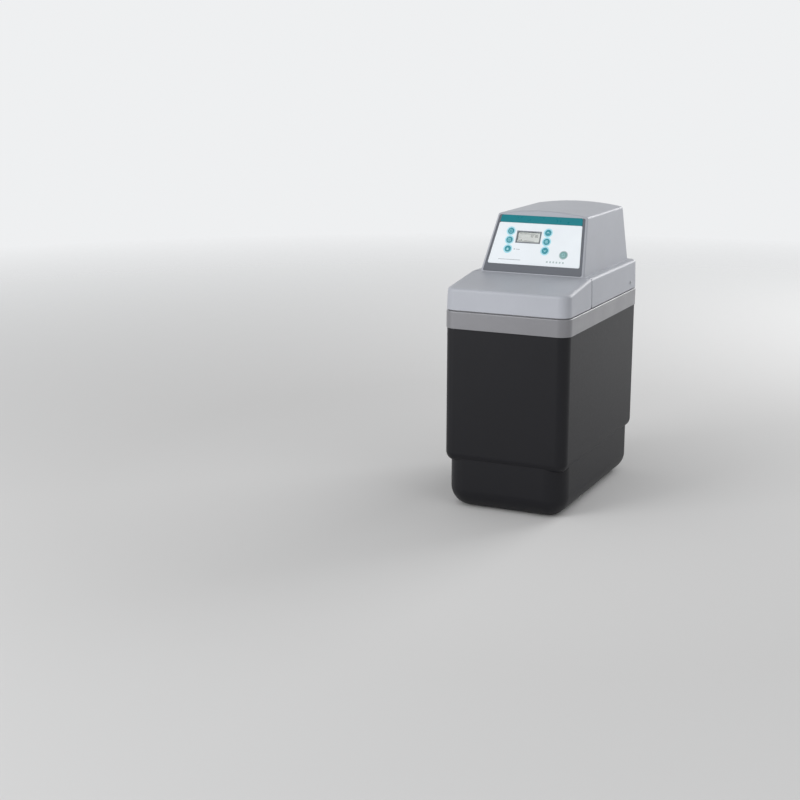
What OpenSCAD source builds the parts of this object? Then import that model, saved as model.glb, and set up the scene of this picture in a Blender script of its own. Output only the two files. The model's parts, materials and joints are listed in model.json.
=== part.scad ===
// Compact cabinet water softener: a salt cabinet that holds a resin tank and a brine well,
// a motor-driven control valve under a service hood, a hinged salt lid, a sloping control
// panel with push buttons, and a bypass valve at the back.
// Millimetres. X runs to the right, Y to the back, Z up. The origin is on the floor, at the
// middle of the cabinet's footprint.

/* [Cabinet] */
// Width over the band
cabinet_w = 240; // [236:1:270]
// Depth over the band
cabinet_d = 420; // [414:1:470]
// Plan radius of the band's corners
corner_r = 22; // [21:0.5:28]
// Wall of the salt cabinet
cabinet_wall = 4; // [3:0.5:5]
// Inset of the cabinet's sides below the band
side_inset = 1.5; // [1:0.5:2.5]
// Inset of the foot under the shoulder
foot_inset = 3.5; // [3:0.5:6]
// Plan radius of the foot's corners
foot_corner_r = 39; // [36:1:41]
// Height of the shoulder's upper edge
shoulder_z = 106; // [90:1:125]
// Radius of the shoulder
shoulder_r = 18; // [15:1:19]
// Radius of the cabinet's bottom edge
foot_fillet = 38; // [30:1:38]

/* [Band] */
// Drop of the band's lower edge below the tank's mouth
band_drop = 58; // [48:1:64]
// Height of the band
band_h = 32; // [26:1:40]
// Thickness of the band's skirt outside the cabinet's rim
band_skirt = 2.7; // [2:0.1:3]
// Length of the rim inside the band
rim_h = 14; // [10:1:16]
// Rounding of the band's upper edge
band_lip_r = 2; // [1:0.5:3]
// Thickness of the upstand inside the covers
upstand_t = 3; // [2:0.5:4]
// Height of the upstand above the band
upstand_h = 8; // [6:1:12]

/* [Lid and hood] */
// Shadow gap between the band and the covers
seam = 2; // [1:0.5:3]
// Setback of the covers' skirt from the band
cover_inset = 0.7; // [0.3:0.1:1.2]
// Wall of the covers
cover_wall = 3; // [2.5:0.5:4]
// Height of the hood's deck above the covers' lower edge
deck_h = 54; // [48:1:62]
// Fall of the lid from the hood to its front edge
lid_fall = 14; // [6:1:18]
// Depth of the lid, from the cabinet's front to the hood
lid_d = 131; // [124:1:140]
// Gap between the lid and the hood
lid_gap = 3; // [3:0.5:4]
// Draw of the skirt over its height
skirt_draw = 1.3; // [0.5:0.1:2]
// Rounding of the covers' upper edges
edge_r = 6; // [5:0.5:9]
// Setback of the hinge from the lid's rear edge
hinge_setback = 14; // [13:1:18]
// Depth of the hinge below the deck
hinge_drop = 9; // [8.5:0.5:9]
// Radius of the hinge pins
hinge_pin_r = 2; // [1.5:0.5:2.5]
// Distance of each hinge from the middle
hinge_x = 70; // [60:1:80]
// Width of each hinge ear
hinge_ear_w = 8; // [6:1:12]
// Width of each lid knuckle
hinge_knuckle_w = 10; // [8:1:14]

/* [Control head] */
// Setback of the head from the band at the sides and the back
head_inset = 18; // [14:1:22]
// Height of the head's upper corners above the deck
head_h = 104; // [100:1:120]
// Lean of the panel from the upright, in degrees
lean = 27.5; // [22:0.5:32]
// Draw of each side over the head's height
head_draw = 13; // [8:1:16]
// Rise of the arched roof
arch_rise = 7; // [4:1:12]
// Rounding of the head's edges
head_edge_r = 5; // [4.5:0.5:7]

/* [Panel] */
// Rim of the hood left beside the panel
panel_rim = 10; // [8:0.5:12]
// Start of the fascia above the foot of the head, along the slope
fascia_q = 17; // [14:0.5:20]
// Length of the fascia along the slope
fascia_l = 82; // [80:0.5:83]
// Length of the header strip along the slope
strip_l = 14.8; // [12:0.2:15]
// Thickness of the fascia
fascia_t = 2.2; // [2:0.1:2.6]
// Depth of the recess that holds the fascia
recess = 1.6; // [1.4:0.1:1.8]
// Width of the ledge that carries the fascia
ledge = 5; // [4:0.5:6]
// Start of the bezel above the foot of the head, along the slope
bezel_q = 1.5; // [1:0.5:4]
// Middle of the display and the keys, measured across the panel
keys_p = -18.7; // [-22:0.1:-16]
// Distance of each key column from the display's middle
key_column = 36.7; // [34:0.1:39]
// Height of the lowest key row along the slope
key_q = 46.7; // [44:0.1:49]
// Pitch of the key rows
key_pitch = 17.7; // [17:0.1:18.2]
// Radius of a key
key_r = 6.2; // [5.2:0.1:6.8]
// Radius of the regeneration key
regen_r = 8.2; // [7:0.1:9]
// Place of the regeneration key across the panel
regen_p = 55.3; // [50:0.1:58]
// Place of the regeneration key along the slope
regen_q = 40.5; // [37:0.1:44]
// How far the keys stand out of the fascia
key_proud = 0.8; // [0.6:0.1:1]
// Travel of the keys
key_travel = 0.7; // [0.4:0.1:0.8]
// Width of the display frame
display_w = 48.5; // [45:0.5:51]
// Height of the display frame
display_l = 24; // [22:0.5:26]
// Width of the display frame's border
display_rim = 2; // [1.5:0.1:2.5]
// Height of the display's middle along the slope
display_q = 71.4; // [69:0.1:74]
// Depth of the control board behind the hood's face
board_depth = 10; // [10:0.5:14]

/* [Resin tank] */
// Outer radius of the resin tank
tank_r = 89; // [84:1:90]
// Wall of the resin tank
tank_wall = 3.5; // [3:0.5:5]
// Height of the resin tank to the top of its neck
tank_h = 387; // [340:1:430]
// Height of the resin tank's neck
neck_h = 20; // [16:1:24]
// Outer radius of the neck
neck_r = 42; // [40:1:44]
// Bore of the neck
neck_bore = 32; // [31:0.5:33]
// Rounding of the tank's domed ends, as a share of its radius
dome_share = 0.494; // [0.43:0.002:0.498]
// Floor of the boot under the tank
boot_floor = 6; // [4:1:10]
// Height of the resin bed above the tank's base
bed_h = 280; // [240:1:300]
// Radius of the riser tube
riser_r = 13.4; // [12.5:0.1:14]

/* [Control valve] */
// Radius of the valve's barrel
barrel_r = 36; // [35:0.5:38]
// Height of the valve body above the tank's neck
barrel_h = 92; // [90:1:96]
// Height of the water ports above the tank's neck
port_rise = 50; // [47:1:52]
// Distance of each water port from the middle
port_x = 27; // [26:0.5:29]
// Outer radius of the water ports
port_r = 15; // [14:0.5:16]
// Bore of the water ports
port_bore = 11; // [10:0.5:11.5]
// Thickness of each ceramic disc
disc_t = 6; // [5:0.5:6.5]
// Radius of the disc chamber
chamber_r = 27; // [25:0.5:27.5]
// Depth of the disc chamber
chamber_h = 18; // [17:0.5:20]
// Radius of the valve shaft in the bonnet
shaft_r = 8; // [7:0.5:9]
// Thickness of the bonnet
bonnet_t = 6; // [5:0.5:8]
// Module of the drive gears
gear_module = 1.5; // [1.4:0.05:1.6]
// Teeth of the drive gear
gear_teeth = 60; // [60:1:66]
// Teeth of the motor pinion
pinion_teeth = 18; // [18:1:22]
// Face width of the gears
gear_w = 8; // [6:1:10]
// Backlash between the gears
gear_backlash = 0.3; // [0.2:0.05:0.4]
// Radius of the motor's gearbox
motor_r = 19; // [17:0.5:20]
// Height of the motor's gearbox
motor_h = 22; // [18:1:26]
// Radius of the drain spigot
drain_r = 6.5; // [6:0.5:7]

/* [Bypass] */
// Distance of the bypass plugs behind the cabinet
bypass_back = 32; // [30:1:38]
// Radius of the bypass barrels
plug_barrel_r = 18; // [17:0.5:19]
// Radius of the bypass plugs
plug_r = 13; // [12.5:0.5:13.5]
// Radius of the male pipe connections
pipe_r = 13.2; // [12.5:0.1:14]
// Length of the male pipe connections
pipe_l = 18; // [15:1:24]
// Reach of the bypass handles
handle_reach = 21; // [19:1:23]

/* [Brine well] */
// Outer radius of the brine well
well_r = 30; // [29:0.5:32]
// Wall of the brine well
well_wall = 2; // [1.5:0.5:2.5]
// Height of the brine well's top
well_h = 355; // [335:1:359]
// Place of the brine well along the cabinet
well_y = -30; // [-34:1:-24]
// Radius of the safety float
float_r = 16; // [13:0.5:16.5]
// Height of the safety float
float_h = 46; // [36:1:60]
// Travel of the safety float
float_travel = 20; // [12:1:22]
// Outer radius of the brine tube
brine_tube_r = 4.75; // [4:0.25:5]
// Bend radius of the brine tube
brine_bend = 28; // [24:1:32]
// Thickness of the salt grid
grid_t = 4; // [3:0.5:5]
// Height of the overflow
overflow_z = 255; // [225:1:285]
// Distance of the overflow from the start of the cabinet's rounded corner
overflow_inset = 18; // [15:1:24]
// Radius of the overflow spigot
overflow_r = 8; // [7:0.5:9]

/* [Hidden] */
$fn = 64;
// Fits
running = 0.05;      // shafts and pins in their bores
slip = 0.2;          // pieces that slide past each other or drop in
rest_gap = 0.3;      // pieces that rest on each other across a joint
cut = 1;             // how far a cut runs past a face

// Cabinet outline: every swept section is measured from the corners' centres
core_x = cabinet_w/2 - corner_r;
core_y = cabinet_d/2 - corner_r;
side_r = corner_r - side_inset;
foot_x = core_x + side_r - foot_inset;
foot_y = core_y + side_r - foot_inset;
wall_in_r = side_r - cabinet_wall;
tank_dome = dome_share*tank_r;
tank_z = cabinet_wall + boot_floor;
valve_z = tank_z + tank_h;
band_z = valve_z - band_drop;
rim_z = band_z + rim_h;
rim_r = corner_r - band_skirt - rest_gap;
band_top = band_z + band_h;
flange_t = 1.8;
flange_h = 10;
flange_in_r = wall_in_r - slip - flange_t;
upstand_z = band_top + upstand_h;

// Covers
skirt_z = band_top + seam;
deck_z = skirt_z + deck_h;
cover_r = corner_r - cover_inset;
cover_top_r = cover_r - skirt_draw;
hood_front_y = -cabinet_d/2 + lid_d;
lid_rear_y = hood_front_y - lid_gap;
lid_front_z = deck_z - lid_fall;
function cover_side(z) = cover_r - skirt_draw*(z - skirt_z)/(deck_h - edge_r);
hinge_y = lid_rear_y - hinge_setback;
hinge_z = deck_z - hinge_drop;
lid_slope = lid_fall/(lid_rear_y + core_y + cover_top_r - edge_r);
lid_under_hinge = deck_z - lid_slope*hinge_setback - cover_wall;
ear_r = lid_under_hinge - hinge_z - rest_gap;
lid_swing = sqrt(hinge_setback*hinge_setback + hinge_drop*hinge_drop) + 1;
ear_arm = 5;         // height of the arm under each hinge ear
ear_forward = 4.5;   // how far the ear's post stands in front of the pin
lid_heel = 6;        // slanted cut at the foot of the lid's rear edge
lid_rib_x = core_x - 40;
lid_rib = [4, 6];    // width of the lid's rests, and their reach behind the upstand
front_wall_z = rim_z + 6;   // foot of the hood's wall behind the salt bin

// Control head
head_hw = cabinet_w/2 - head_inset;
head_top_hw = head_hw - head_draw;
head_rear_y = cabinet_d/2 - head_inset;
head_top = deck_z + head_h + arch_rise;
roof_spans = 12;
function panel_hw(q) = head_hw - head_draw*q*cos(lean)/head_h;
function slope_y(z) = hood_front_y + (z - deck_z)*tan(lean);

// Panel
strip_q = fascia_q + fascia_l + slip;
panel_top_q = strip_q + strip_l;
fascia_back = -recess;
fascia_face = fascia_back + fascia_t;
bezel_proud = 0.2;           // how far the bezel stands out of the hood's face
panel_corner_r = 3;
key_flange_t = 1.4;
key_flange = 1.3;
key_stem_l = 1.8;
board_t = 1.6;
board_face = -board_depth;
board_hole_inset = 4;
boss_r = 3;
board_q = [fascia_q + 16, fascia_q + fascia_l - ledge];
board_edge = boss_r + board_hole_inset + 1;   // board beyond the flange of the outermost keys
board_p = [keys_p - key_column - key_r - key_flange - board_edge,
           regen_p + regen_r + key_flange + board_edge];
board_screw_r = 1.2;
switch_h = 3.2;
function key_place(col, row) = [keys_p + col*key_column, key_q + row*key_pitch];

// Resin tank and valve
tank_gap = 8.5;              // room between the tank and the foot's back wall
tank_y = foot_y - cabinet_wall - tank_gap - tank_r;
port_z = valve_z + port_rise;
barrel_top = valve_z + barrel_h;
chamber_z = barrel_top - chamber_h;
spigot_h = neck_h - 2;
spigot_r = neck_bore - slip;
spigot_bore = spigot_r - 7;
socket_top = port_z - port_bore - 1;
collar_h = 10;
collar_r = neck_r + 4;
seal_r = 2;
seal_ring_r = (neck_r + neck_bore)/2;
port_end_y = cabinet_d/2 - 5;
port_flange_r = port_r + 3;
port_flange_t = 6;
port_hole_r = 5;             // passages from the ports up to the discs
port_hole_x = 0.55*port_x;
port_hole_y = 8;
moving_disc_z = chamber_z + disc_t + running;
shaft_foot_z = moving_disc_z + disc_t;
bonnet_top = barrel_top + bonnet_t;
plate_t = 2;
plate_top = bonnet_top + plate_t;
gear_z = plate_top + 6;
gear_bore = 6;
gear_r = gear_module*gear_teeth/2;
pinion_r = gear_module*pinion_teeth/2;
gear_centres = gear_r + pinion_r;
motor_y = tank_y - gear_centres;
motor_shaft_r = 3;
motor_shaft_l = 9;           // length of the shaft inside the gearbox
bonnet_screw_ring = chamber_r + 4.5;
bonnet_screws_n = 6;
bonnet_screw_r = 1.6;
bonnet_screw_depth = 12;
brine_port_z = valve_z + 38;
side_port_y = tank_y - 16;
brine_boss_r = 9;
brine_boss_x = barrel_r + 6;
brine_bore = 4;
injector_boss_r = 13;
injector_boss_x = barrel_r + 10;
injector_bore = 6;
injector_l = 20;
drain_wall = 2;
drain_reach = 22;            // how far the spigot stands out behind the cabinet
drain_z = valve_z + collar_h + drain_r + 8;
drain_socket_y = tank_y + barrel_r + 12;

// Bypass
plug_y = cabinet_d/2 + bypass_back;
bypass_end_y = plug_y + plug_barrel_r + 7;
bypass_bore = port_bore - 1.5;
plug_top = port_z + port_r + 6;
plug_bottom = port_z - port_r - 4;
plug_floor = 4;
plug_stem_r = 6;
handle_z = plug_top + 4;
handle_h = 9;
handle_hub_r = 12;
handle_hw = 6;               // half width of the lever
handle_point = 8;            // length of the lever's pointed end
handle_roof = 2;
cross_tube_r = 11;
cross_bore = 7;

// Brine well
well_gap = 1.5;              // room between the well and the rounding of the floor
well_x = -(foot_x - foot_fillet - well_gap - well_r);
tube_offset = 16;            // places of the brine tube and the float's rod beside the well's axis
rod_offset = 9;
brine_x = well_x - tube_offset;
rod_x = well_x + rod_offset;
rod_r = 2.5;
elbow_l = 14;
elbow_socket = 8;
elbow_bore = 3;
brine_tube_wall = 1.4;
tube_socket = 14;
brine_valve_h = 50;
brine_valve_z = cabinet_wall + 2;
brine_valve_top = brine_valve_z + brine_valve_h;
rod_hold = 8;                // length of the rod that stays in its guide
rod_bottom = brine_valve_top - float_travel - rod_hold;
float_rest = 60;             // height of the resting float above its valve
float_z = brine_valve_top + float_rest;
well_cap_t = 6;
well_cap_top = well_h + well_cap_t;
grid_edge_r = wall_in_r - 2*rest_gap;
grid_z = shoulder_z + rest_gap
    - sqrt(pow(shoulder_r - cabinet_wall, 2) - pow(grid_edge_r - side_r + shoulder_r, 2));
grid_lap = 20;               // how far the grid stops in front of the tank's axis
grid_rear_y = tank_y - grid_lap;
overflow_x = -(core_x - overflow_inset);
overflow_nut_r = overflow_r + 6;
overflow_nut_t = 6;
overflow_thread = overflow_nut_t + 3;
overflow_l = 28;

// Names of the six keys: column -1 is left of the display, column 1 is right of it
KEYS = [["key_clock", -1, 2], ["key_days", -1, 1], ["key_lock", -1, 0],
        ["key_up", 1, 2], ["key_set", 1, 1], ["key_down", 1, 0]];

// Shared shapes

// Ring-shaped tube along Z
module tube(r_out, r_in, h) {
    difference() {
        cylinder(r = r_out, h = h);
        translate([0, 0, -cut]) cylinder(r = r_in, h = h + 2*cut);
    }
}

// Cylinder along +Y from the origin
module along_y(r, l) {
    rotate([-90, 0, 0]) cylinder(r = r, h = l);
}

// Cylinder along +X from the origin
module along_x(r, l) {
    rotate([0, 90, 0]) cylinder(r = r, h = l);
}

// Sweeps a section round the cabinet's outline; its x is the distance from a corner's centre
module around(core = [core_x, core_y]) {
    for (k = [0:3]) {
        h = k % 2 == 0 ? core : [core.y, core.x];
        rotate(90*k) translate([h.x, h.y, 0]) {
            rotate_extrude(angle = 90) children();
            rotate([90, 0, 0]) linear_extrude(2*h.y) children();
        }
    }
}

// Plan outline of the cabinet at a distance r from the corners' centres
module plan_outline(r) {
    square([2*core_x, 2*(core_y + r)], center = true);
    square([2*(core_x + r), 2*core_y], center = true);
    for (sx = [-1, 1], sy = [-1, 1])
        translate([sx*core_x, sy*core_y]) circle(r);
}

// Places children on the panel: x across, y up the slope, z out of the hood's face
module on_panel(p = 0, q = 0, n = 0) {
    translate([0, hood_front_y, deck_z]) rotate([90 - lean, 0, 0]) translate([p, q, n]) children();
}

// Panel outline between two heights on the slope, set in from the hood's edge
module panel_outline(q0, q1, rim, r) {
    hull()
        for (s = [-1, 1], q = [q0 + r, q1 - r])
            translate([s*(panel_hw(q) - rim - r), q]) circle(r, $fn = 32);
}

// Pan-head screw with a cross recess, its head's seat at z = 0 and its shank down
module screw(head_r, head_h, shank_r, shank_l) {
    difference() {
        union() {
            cylinder(r = head_r, h = head_h);
            translate([0, 0, -shank_l]) cylinder(r = shank_r, h = shank_l + cut);
        }
        for (a = [0, 90])
            rotate(a) translate([-0.6*head_r, -0.13*head_r, 0.45*head_h])
                cube([1.2*head_r, 0.26*head_r, head_h]);
    }
}

// Cabinet and band

// Section of the cabinet from the shoulder up, set in from its outside
module upper_section(inset) {
    r = shoulder_r - inset;
    translate([0, shoulder_z]) square([side_r - inset, rim_z - shoulder_z + (inset > 0 ? cut : 0)]);
    translate([0, shoulder_z - r]) square([side_r - shoulder_r, r]);
    intersection() {
        translate([side_r - shoulder_r, shoulder_z]) circle(r);
        translate([0, shoulder_z - r]) square([side_r, r]);
    }
}

// Section of the foot, whose corners are rounder than the rest
module foot_section(inset) {
    r = foot_corner_r - inset;
    fillet = foot_fillet - inset;
    translate([0, inset]) square([r - fillet, shoulder_z - inset]);
    translate([0, inset + fillet]) square([r, shoulder_z - inset - fillet]);
    intersection() {
        translate([r - fillet, inset + fillet]) circle(fillet);
        translate([0, inset]) square([r, fillet]);
    }
}

// Solid form of the cabinet, set in from its outside
module cabinet_form(inset) {
    foot_core = [foot_x - foot_corner_r, foot_y - foot_corner_r];
    shelf_z = shoulder_z - shoulder_r + inset;
    around() upper_section(inset);
    translate([-core_x, -core_y, shelf_z])
        cube([2*core_x, 2*core_y, rim_z - shelf_z + (inset > 0 ? cut : 0)]);
    around(foot_core) foot_section(inset);
    translate([-foot_core.x, -foot_core.y, inset]) cube([2*foot_core.x, 2*foot_core.y, shoulder_z - inset]);
}

module cabinet_shell() {
    color("#2d2d30") difference() {
        cabinet_form(0);
        cabinet_form(cabinet_wall);
        around() translate([rim_r, band_z]) square([corner_r, rim_h + cut]);
        translate([overflow_x, core_y, overflow_z]) along_y(overflow_r + 1, corner_r + cut);
    }
}

module band_section() {
    difference() {
        union() {
            translate([flange_in_r, rim_z]) square([corner_r - flange_in_r, band_h - rim_h]);
            translate([corner_r - band_skirt, band_z]) square([band_skirt, rim_h]);
            translate([flange_in_r, band_top]) square([upstand_t, upstand_h]);
        }
        translate([corner_r - band_lip_r, band_top - band_lip_r]) difference() {
            square(band_lip_r + cut);
            circle(band_lip_r);
        }
    }
}

// Lugs on the upstand that take the hood's screws
hood_screw_r = 1.6;
hood_screw_z = upstand_z + 7;
hood_screw_side_y = core_y - 30;
hood_screw_back_x = core_x - 16;
lug_w = 14;
lug_h = 14;
lug_face_r = cover_side(upstand_z + lug_h) - cover_wall - slip;
hood_screw_head_r = 3.2;
hood_screw_seat = cover_side(hood_screw_z - hood_screw_head_r);

module hood_screw_places() {
    for (s = [-1, 1]) {
        translate([s*core_x, hood_screw_side_y, hood_screw_z]) rotate([0, 0, s > 0 ? 0 : 180]) children();
        translate([s*hood_screw_back_x, core_y, hood_screw_z]) rotate([0, 0, 90]) children();
    }
}

// Flanges inside the cabinet's rim, on the straight runs only: the corners of the mouth stay clear
module band_flanges() {
    for (s = [-1, 1]) {
        reach = s > 0 ? flange_in_r : -flange_in_r - flange_t;
        height = flange_h + flange_t;
        translate([s*core_x + reach, -core_y, rim_z - flange_h]) cube([flange_t, 2*core_y, height]);
        translate([-core_x, s*core_y + reach, rim_z - flange_h]) cube([2*core_x, flange_t, height]);
    }
}

module band_ring() {
    difference() {
        union() {
            around() band_section();
            band_flanges();
            hood_screw_places()
                translate([flange_in_r, -lug_w/2, upstand_z - hood_screw_z - upstand_h])
                    cube([lug_face_r - flange_in_r, lug_w, upstand_h + lug_h]);
        }
        hood_screw_places() translate([flange_in_r - cut, 0, 0]) along_x(hood_screw_r + running, corner_r);
    }
}

// The ring is moulded in two halves, which meet under the gap between the lid and the hood
band_split_y = lid_rear_y + lid_gap/2;

module band_half(from_y, to_y) {
    color("#8f9094") intersection() {
        band_ring();
        translate([-cabinet_w, from_y, 0]) cube([2*cabinet_w, to_y - from_y, deck_z]);
    }
}

module band_front() {
    band_half(-cabinet_d, band_split_y);
}

module band_rear() {
    band_half(band_split_y, cabinet_d);
}

// Salt lid

// Form of the lid, set in from its outside; the rear runs past the lid by the given length
module lid_form(inset, past, below) {
    fillet = edge_r - inset;
    top_r = cover_top_r - edge_r;
    hull() {
        for (s = [-1, 1]) {
            translate([s*core_x, -core_y, 0]) {
                translate([0, 0, skirt_z - below]) cylinder(r = cover_r - inset, h = 0.01, $fn = 48);
                translate([0, 0, lid_front_z - edge_r]) rotate_extrude($fn = 48)
                    translate([top_r, 0]) circle(fillet, $fn = 32);
            }
            translate([s*(core_x + top_r), lid_rear_y + past - 0.01, deck_z - edge_r])
                along_y(fillet, 0.01, $fn = 32);
            translate([s*(core_x + cover_r - inset) - 0.005, lid_rear_y + past - 0.01, skirt_z - below])
                cube(0.01);
        }
    }
}

module hinge_bores() {
    for (s = [-1, 1])
        translate([s*hinge_x - hinge_pin_l/2 - cut, hinge_y, hinge_z])
            along_x(hinge_pin_r + running, hinge_pin_l + 2*cut);
}
hinge_pin_l = hinge_ear_w + 2*hinge_knuckle_w + 2*rest_gap;
knuckle_r = ear_r;

// Lid knuckle: a barrel round the pin and a web up to the lid's plate
module lid_knuckles() {
    offset_x = (hinge_ear_w + hinge_knuckle_w)/2 + rest_gap;
    for (s = [-1, 1], k = [-1, 1])
        translate([s*hinge_x + k*offset_x - hinge_knuckle_w/2, hinge_y, hinge_z]) {
            along_x(knuckle_r, hinge_knuckle_w);
            translate([0, -knuckle_r, 0])
                cube([hinge_knuckle_w, 2*knuckle_r, lid_under_hinge - hinge_z + cover_wall/2]);
        }
}

// Ribs that rest on the band's upstand when the lid is shut
module lid_rests() {
    for (s = [-1, 1])
        translate([s*lid_rib_x - lid_rib.x/2, -core_y - flange_in_r - upstand_t, upstand_z + rest_gap])
            cube([lid_rib.x, upstand_t + lid_rib.y, lid_front_z - cover_wall - upstand_z]);
}

module salt_lid() {
    color("#b4b7be") difference() {
        union() {
            difference() {
                lid_form(0, 0, 0);
                lid_form(cover_wall, cut, cut);
            }
            intersection() {
                union() {
                    lid_knuckles();
                    lid_rests();
                }
                lid_form(cover_wall/2, 0, 0);
            }
        }
        hinge_bores();
        lid_heel_cut();
    }
}

// Slanted cut at the foot of the lid's rear edge, which swings past the band
module lid_heel_cut() {
    translate([-cabinet_w/2 - cut, 0, 0]) rotate([90, 0, 90]) linear_extrude(cabinet_w + 2*cut)
        polygon([[lid_rear_y - lid_heel - cut, skirt_z - cut], [lid_rear_y + cut, skirt_z - cut],
                 [lid_rear_y + cut, skirt_z + lid_heel + cut]]);
}

module lid_hinge_pins() {
    color("silver")
        for (s = [-1, 1])
            translate([s*hinge_x - hinge_pin_l/2, hinge_y, hinge_z]) along_x(hinge_pin_r, hinge_pin_l);
}

// Valve hood

// Filled outline of the covers' section, set in from its outside
module cover_outline(inset) {
    bottom = skirt_z - (inset > 0 ? cut : 0);
    polygon([[0, bottom], [cover_r - inset, bottom], [cover_top_r - inset, deck_z - edge_r],
             [0, deck_z - edge_r]]);
    square_top = deck_z - edge_r;
    translate([0, square_top - cut]) square([cover_top_r - edge_r, edge_r - inset + cut]);
    intersection() {
        translate([cover_top_r - edge_r, square_top]) circle(edge_r - inset);
        translate([0, square_top]) square([corner_r, edge_r]);
    }
}

module deck() {
    around() difference() {
        cover_outline(0);
        cover_outline(cover_wall);
    }
    translate([-core_x, -core_y, deck_z - cover_wall]) cube([2*core_x, 2*core_y, cover_wall]);
}

// Form of the control head with edges of radius r, down to the height base
module head_form(r, base) {
    top_x = head_top_hw - head_edge_r;
    hull() {
        for (s = [-1, 1], y = [slope_y(base) + head_edge_r, head_rear_y - head_edge_r])
            translate([s*(head_hw - head_edge_r), y, base]) cylinder(r = r, h = 0.01, $fn = 32);
        for (i = [0:roof_spans]) {
            t = 2*i/roof_spans - 1;
            z = deck_z + head_h - head_edge_r + arch_rise*(1 - t*t);
            front = hood_front_y + (head_edge_r + (z - deck_z)*sin(lean))/cos(lean);
            for (y = [front, head_rear_y - head_edge_r])
                translate([t*top_x, y, z]) sphere(r, $fn = 32);
        }
    }
}

// Wall under the head, between the salt bin and the valve
module hood_front_wall() {
    inner = core_x + cover_top_r - cover_wall/2;
    translate([-inner, hood_front_y, upstand_z + rest_gap])
        cube([2*inner, cover_wall, deck_z - cover_wall/2 - upstand_z - rest_gap]);
    narrow = core_x + flange_in_r - slip;
    translate([-narrow, hood_front_y, front_wall_z])
        cube([2*narrow, cover_wall, upstand_z + cut - front_wall_z]);
}

// Ears that carry the lid's hinge pins: the arm runs below the swing of the lid's rear edge
module hinge_ears() {
    for (s = [-1, 1])
        translate([s*hinge_x - hinge_ear_w/2, hinge_y, hinge_z]) {
            along_x(ear_r, hinge_ear_w);
            translate([0, -ear_r - ear_forward, -lid_swing - ear_arm]) {
                cube([hinge_ear_w, 2*ear_r, lid_swing + ear_arm]);
                cube([hinge_ear_w, hood_front_y - hinge_y + ear_r + ear_forward + cut, ear_arm]);
            }
        }
}

// Opening at the back for the bypass and the drain, open below so that the hood lifts off
notch_hw = port_x + port_flange_r + 10;
notch_top = port_z + port_flange_r + 7;
notch_depth = 30;

// Place of the power socket on the back of the head
socket_x = head_hw - 30;
socket_z = deck_z + 0.5*head_h;
socket_r = 5.5;

module valve_hood() {
    color("#a9acb3") difference() {
        union() {
            difference() {
                union() {
                    intersection() {
                        deck();
                        translate([-cabinet_w, hood_front_y, skirt_z - cut])
                            cube([2*cabinet_w, cabinet_d, head_top]);
                    }
                    head_form(head_edge_r, deck_z - cover_wall/2);
                }
                head_form(head_edge_r - cover_wall, deck_z - cover_wall - cut);
            }
            hood_front_wall();
            hinge_ears();
        }
        on_panel(n = -recess) linear_extrude(recess + cut)
            panel_outline(bezel_q - slip, panel_top_q + slip, head_edge_r - slip, panel_corner_r + slip);
        on_panel(n = -3*cover_wall) linear_extrude(4*cover_wall)
            panel_outline(fascia_q + ledge, fascia_q + fascia_l - ledge, panel_rim + ledge, panel_corner_r);
        translate([-notch_hw, core_y - notch_depth, skirt_z - cut])
            cube([2*notch_hw, 2*notch_depth + corner_r, notch_top - skirt_z + cut]);
        translate([socket_x, head_rear_y - 2*cover_wall, socket_z]) along_y(socket_r + running, 3*cover_wall);
        hinge_bores();
        hood_screw_places() along_x(hood_screw_r + slip, corner_r + cut);
    }
}

module hood_screws() {
    past_lug = 1.5;
    screw_head_h = 1.3;
    shank_l = hood_screw_seat - flange_in_r + past_lug;
    color("silver") hood_screw_places()
        translate([hood_screw_seat, 0, 0]) rotate([0, 90, 0])
            screw(hood_screw_head_r, screw_head_h, hood_screw_r, shank_l);
}

// Control panel

// Openings of the fascia for the keys
module key_openings(grow) {
    for (k = KEYS) translate(key_place(k[1], k[2])) circle(key_r + grow);
    translate([regen_p, regen_q]) circle(regen_r + grow);
}

module board_hole_places() {
    for (p = [board_p[0] + board_hole_inset, board_p[1] - board_hole_inset],
         q = [board_q[0] + board_hole_inset, board_q[1] - board_hole_inset])
        translate([p, q]) children();
}

// Frame round the panel's sides and foot, in the same recess as the fascia
module panel_bezel() {
    color("#70767d") on_panel(n = fascia_back) linear_extrude(recess + bezel_proud) difference() {
        panel_outline(bezel_q, panel_top_q, head_edge_r, panel_corner_r);
        panel_outline(fascia_q - slip, panel_top_q + 2*panel_corner_r, panel_rim - slip, panel_corner_r);
    }
}

module fascia() {
    window = [display_w - 2*display_rim, display_l - 2*display_rim];
    color("#e6ebee") difference() {
        union() {
            on_panel(n = fascia_back) linear_extrude(fascia_t) difference() {
                panel_outline(fascia_q, fascia_q + fascia_l, panel_rim, panel_corner_r);
                key_openings(0.1);
                translate([keys_p, display_q]) square(window, center = true);
            }
            on_panel(n = board_face) linear_extrude(board_depth - recess + cut)
                board_hole_places() circle(boss_r);
        }
        on_panel(n = board_face - cut) linear_extrude(board_depth - recess + cut - 0.6)
            board_hole_places() circle(board_screw_r + running);
    }
}

module header_strip() {
    color("#24808e") on_panel(n = fascia_back) linear_extrude(fascia_t)
        panel_outline(strip_q, panel_top_q, panel_rim, panel_corner_r);
}

module display_frame() {
    outer = [display_w, display_l];
    window = [display_w - 2*display_rim, display_l - 2*display_rim];
    color("#5a6066") on_panel(keys_p, display_q, fascia_face) linear_extrude(0.5) difference() {
        square(outer, center = true);
        square(window, center = true);
    }
}

module display_window() {
    window = [display_w - 2*display_rim - 2*running, display_l - 2*display_rim - 2*running];
    color("#dfe6e6", 0.4) on_panel(keys_p, display_q, fascia_face - 1) linear_extrude(1)
        square(window, center = true);
}

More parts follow.
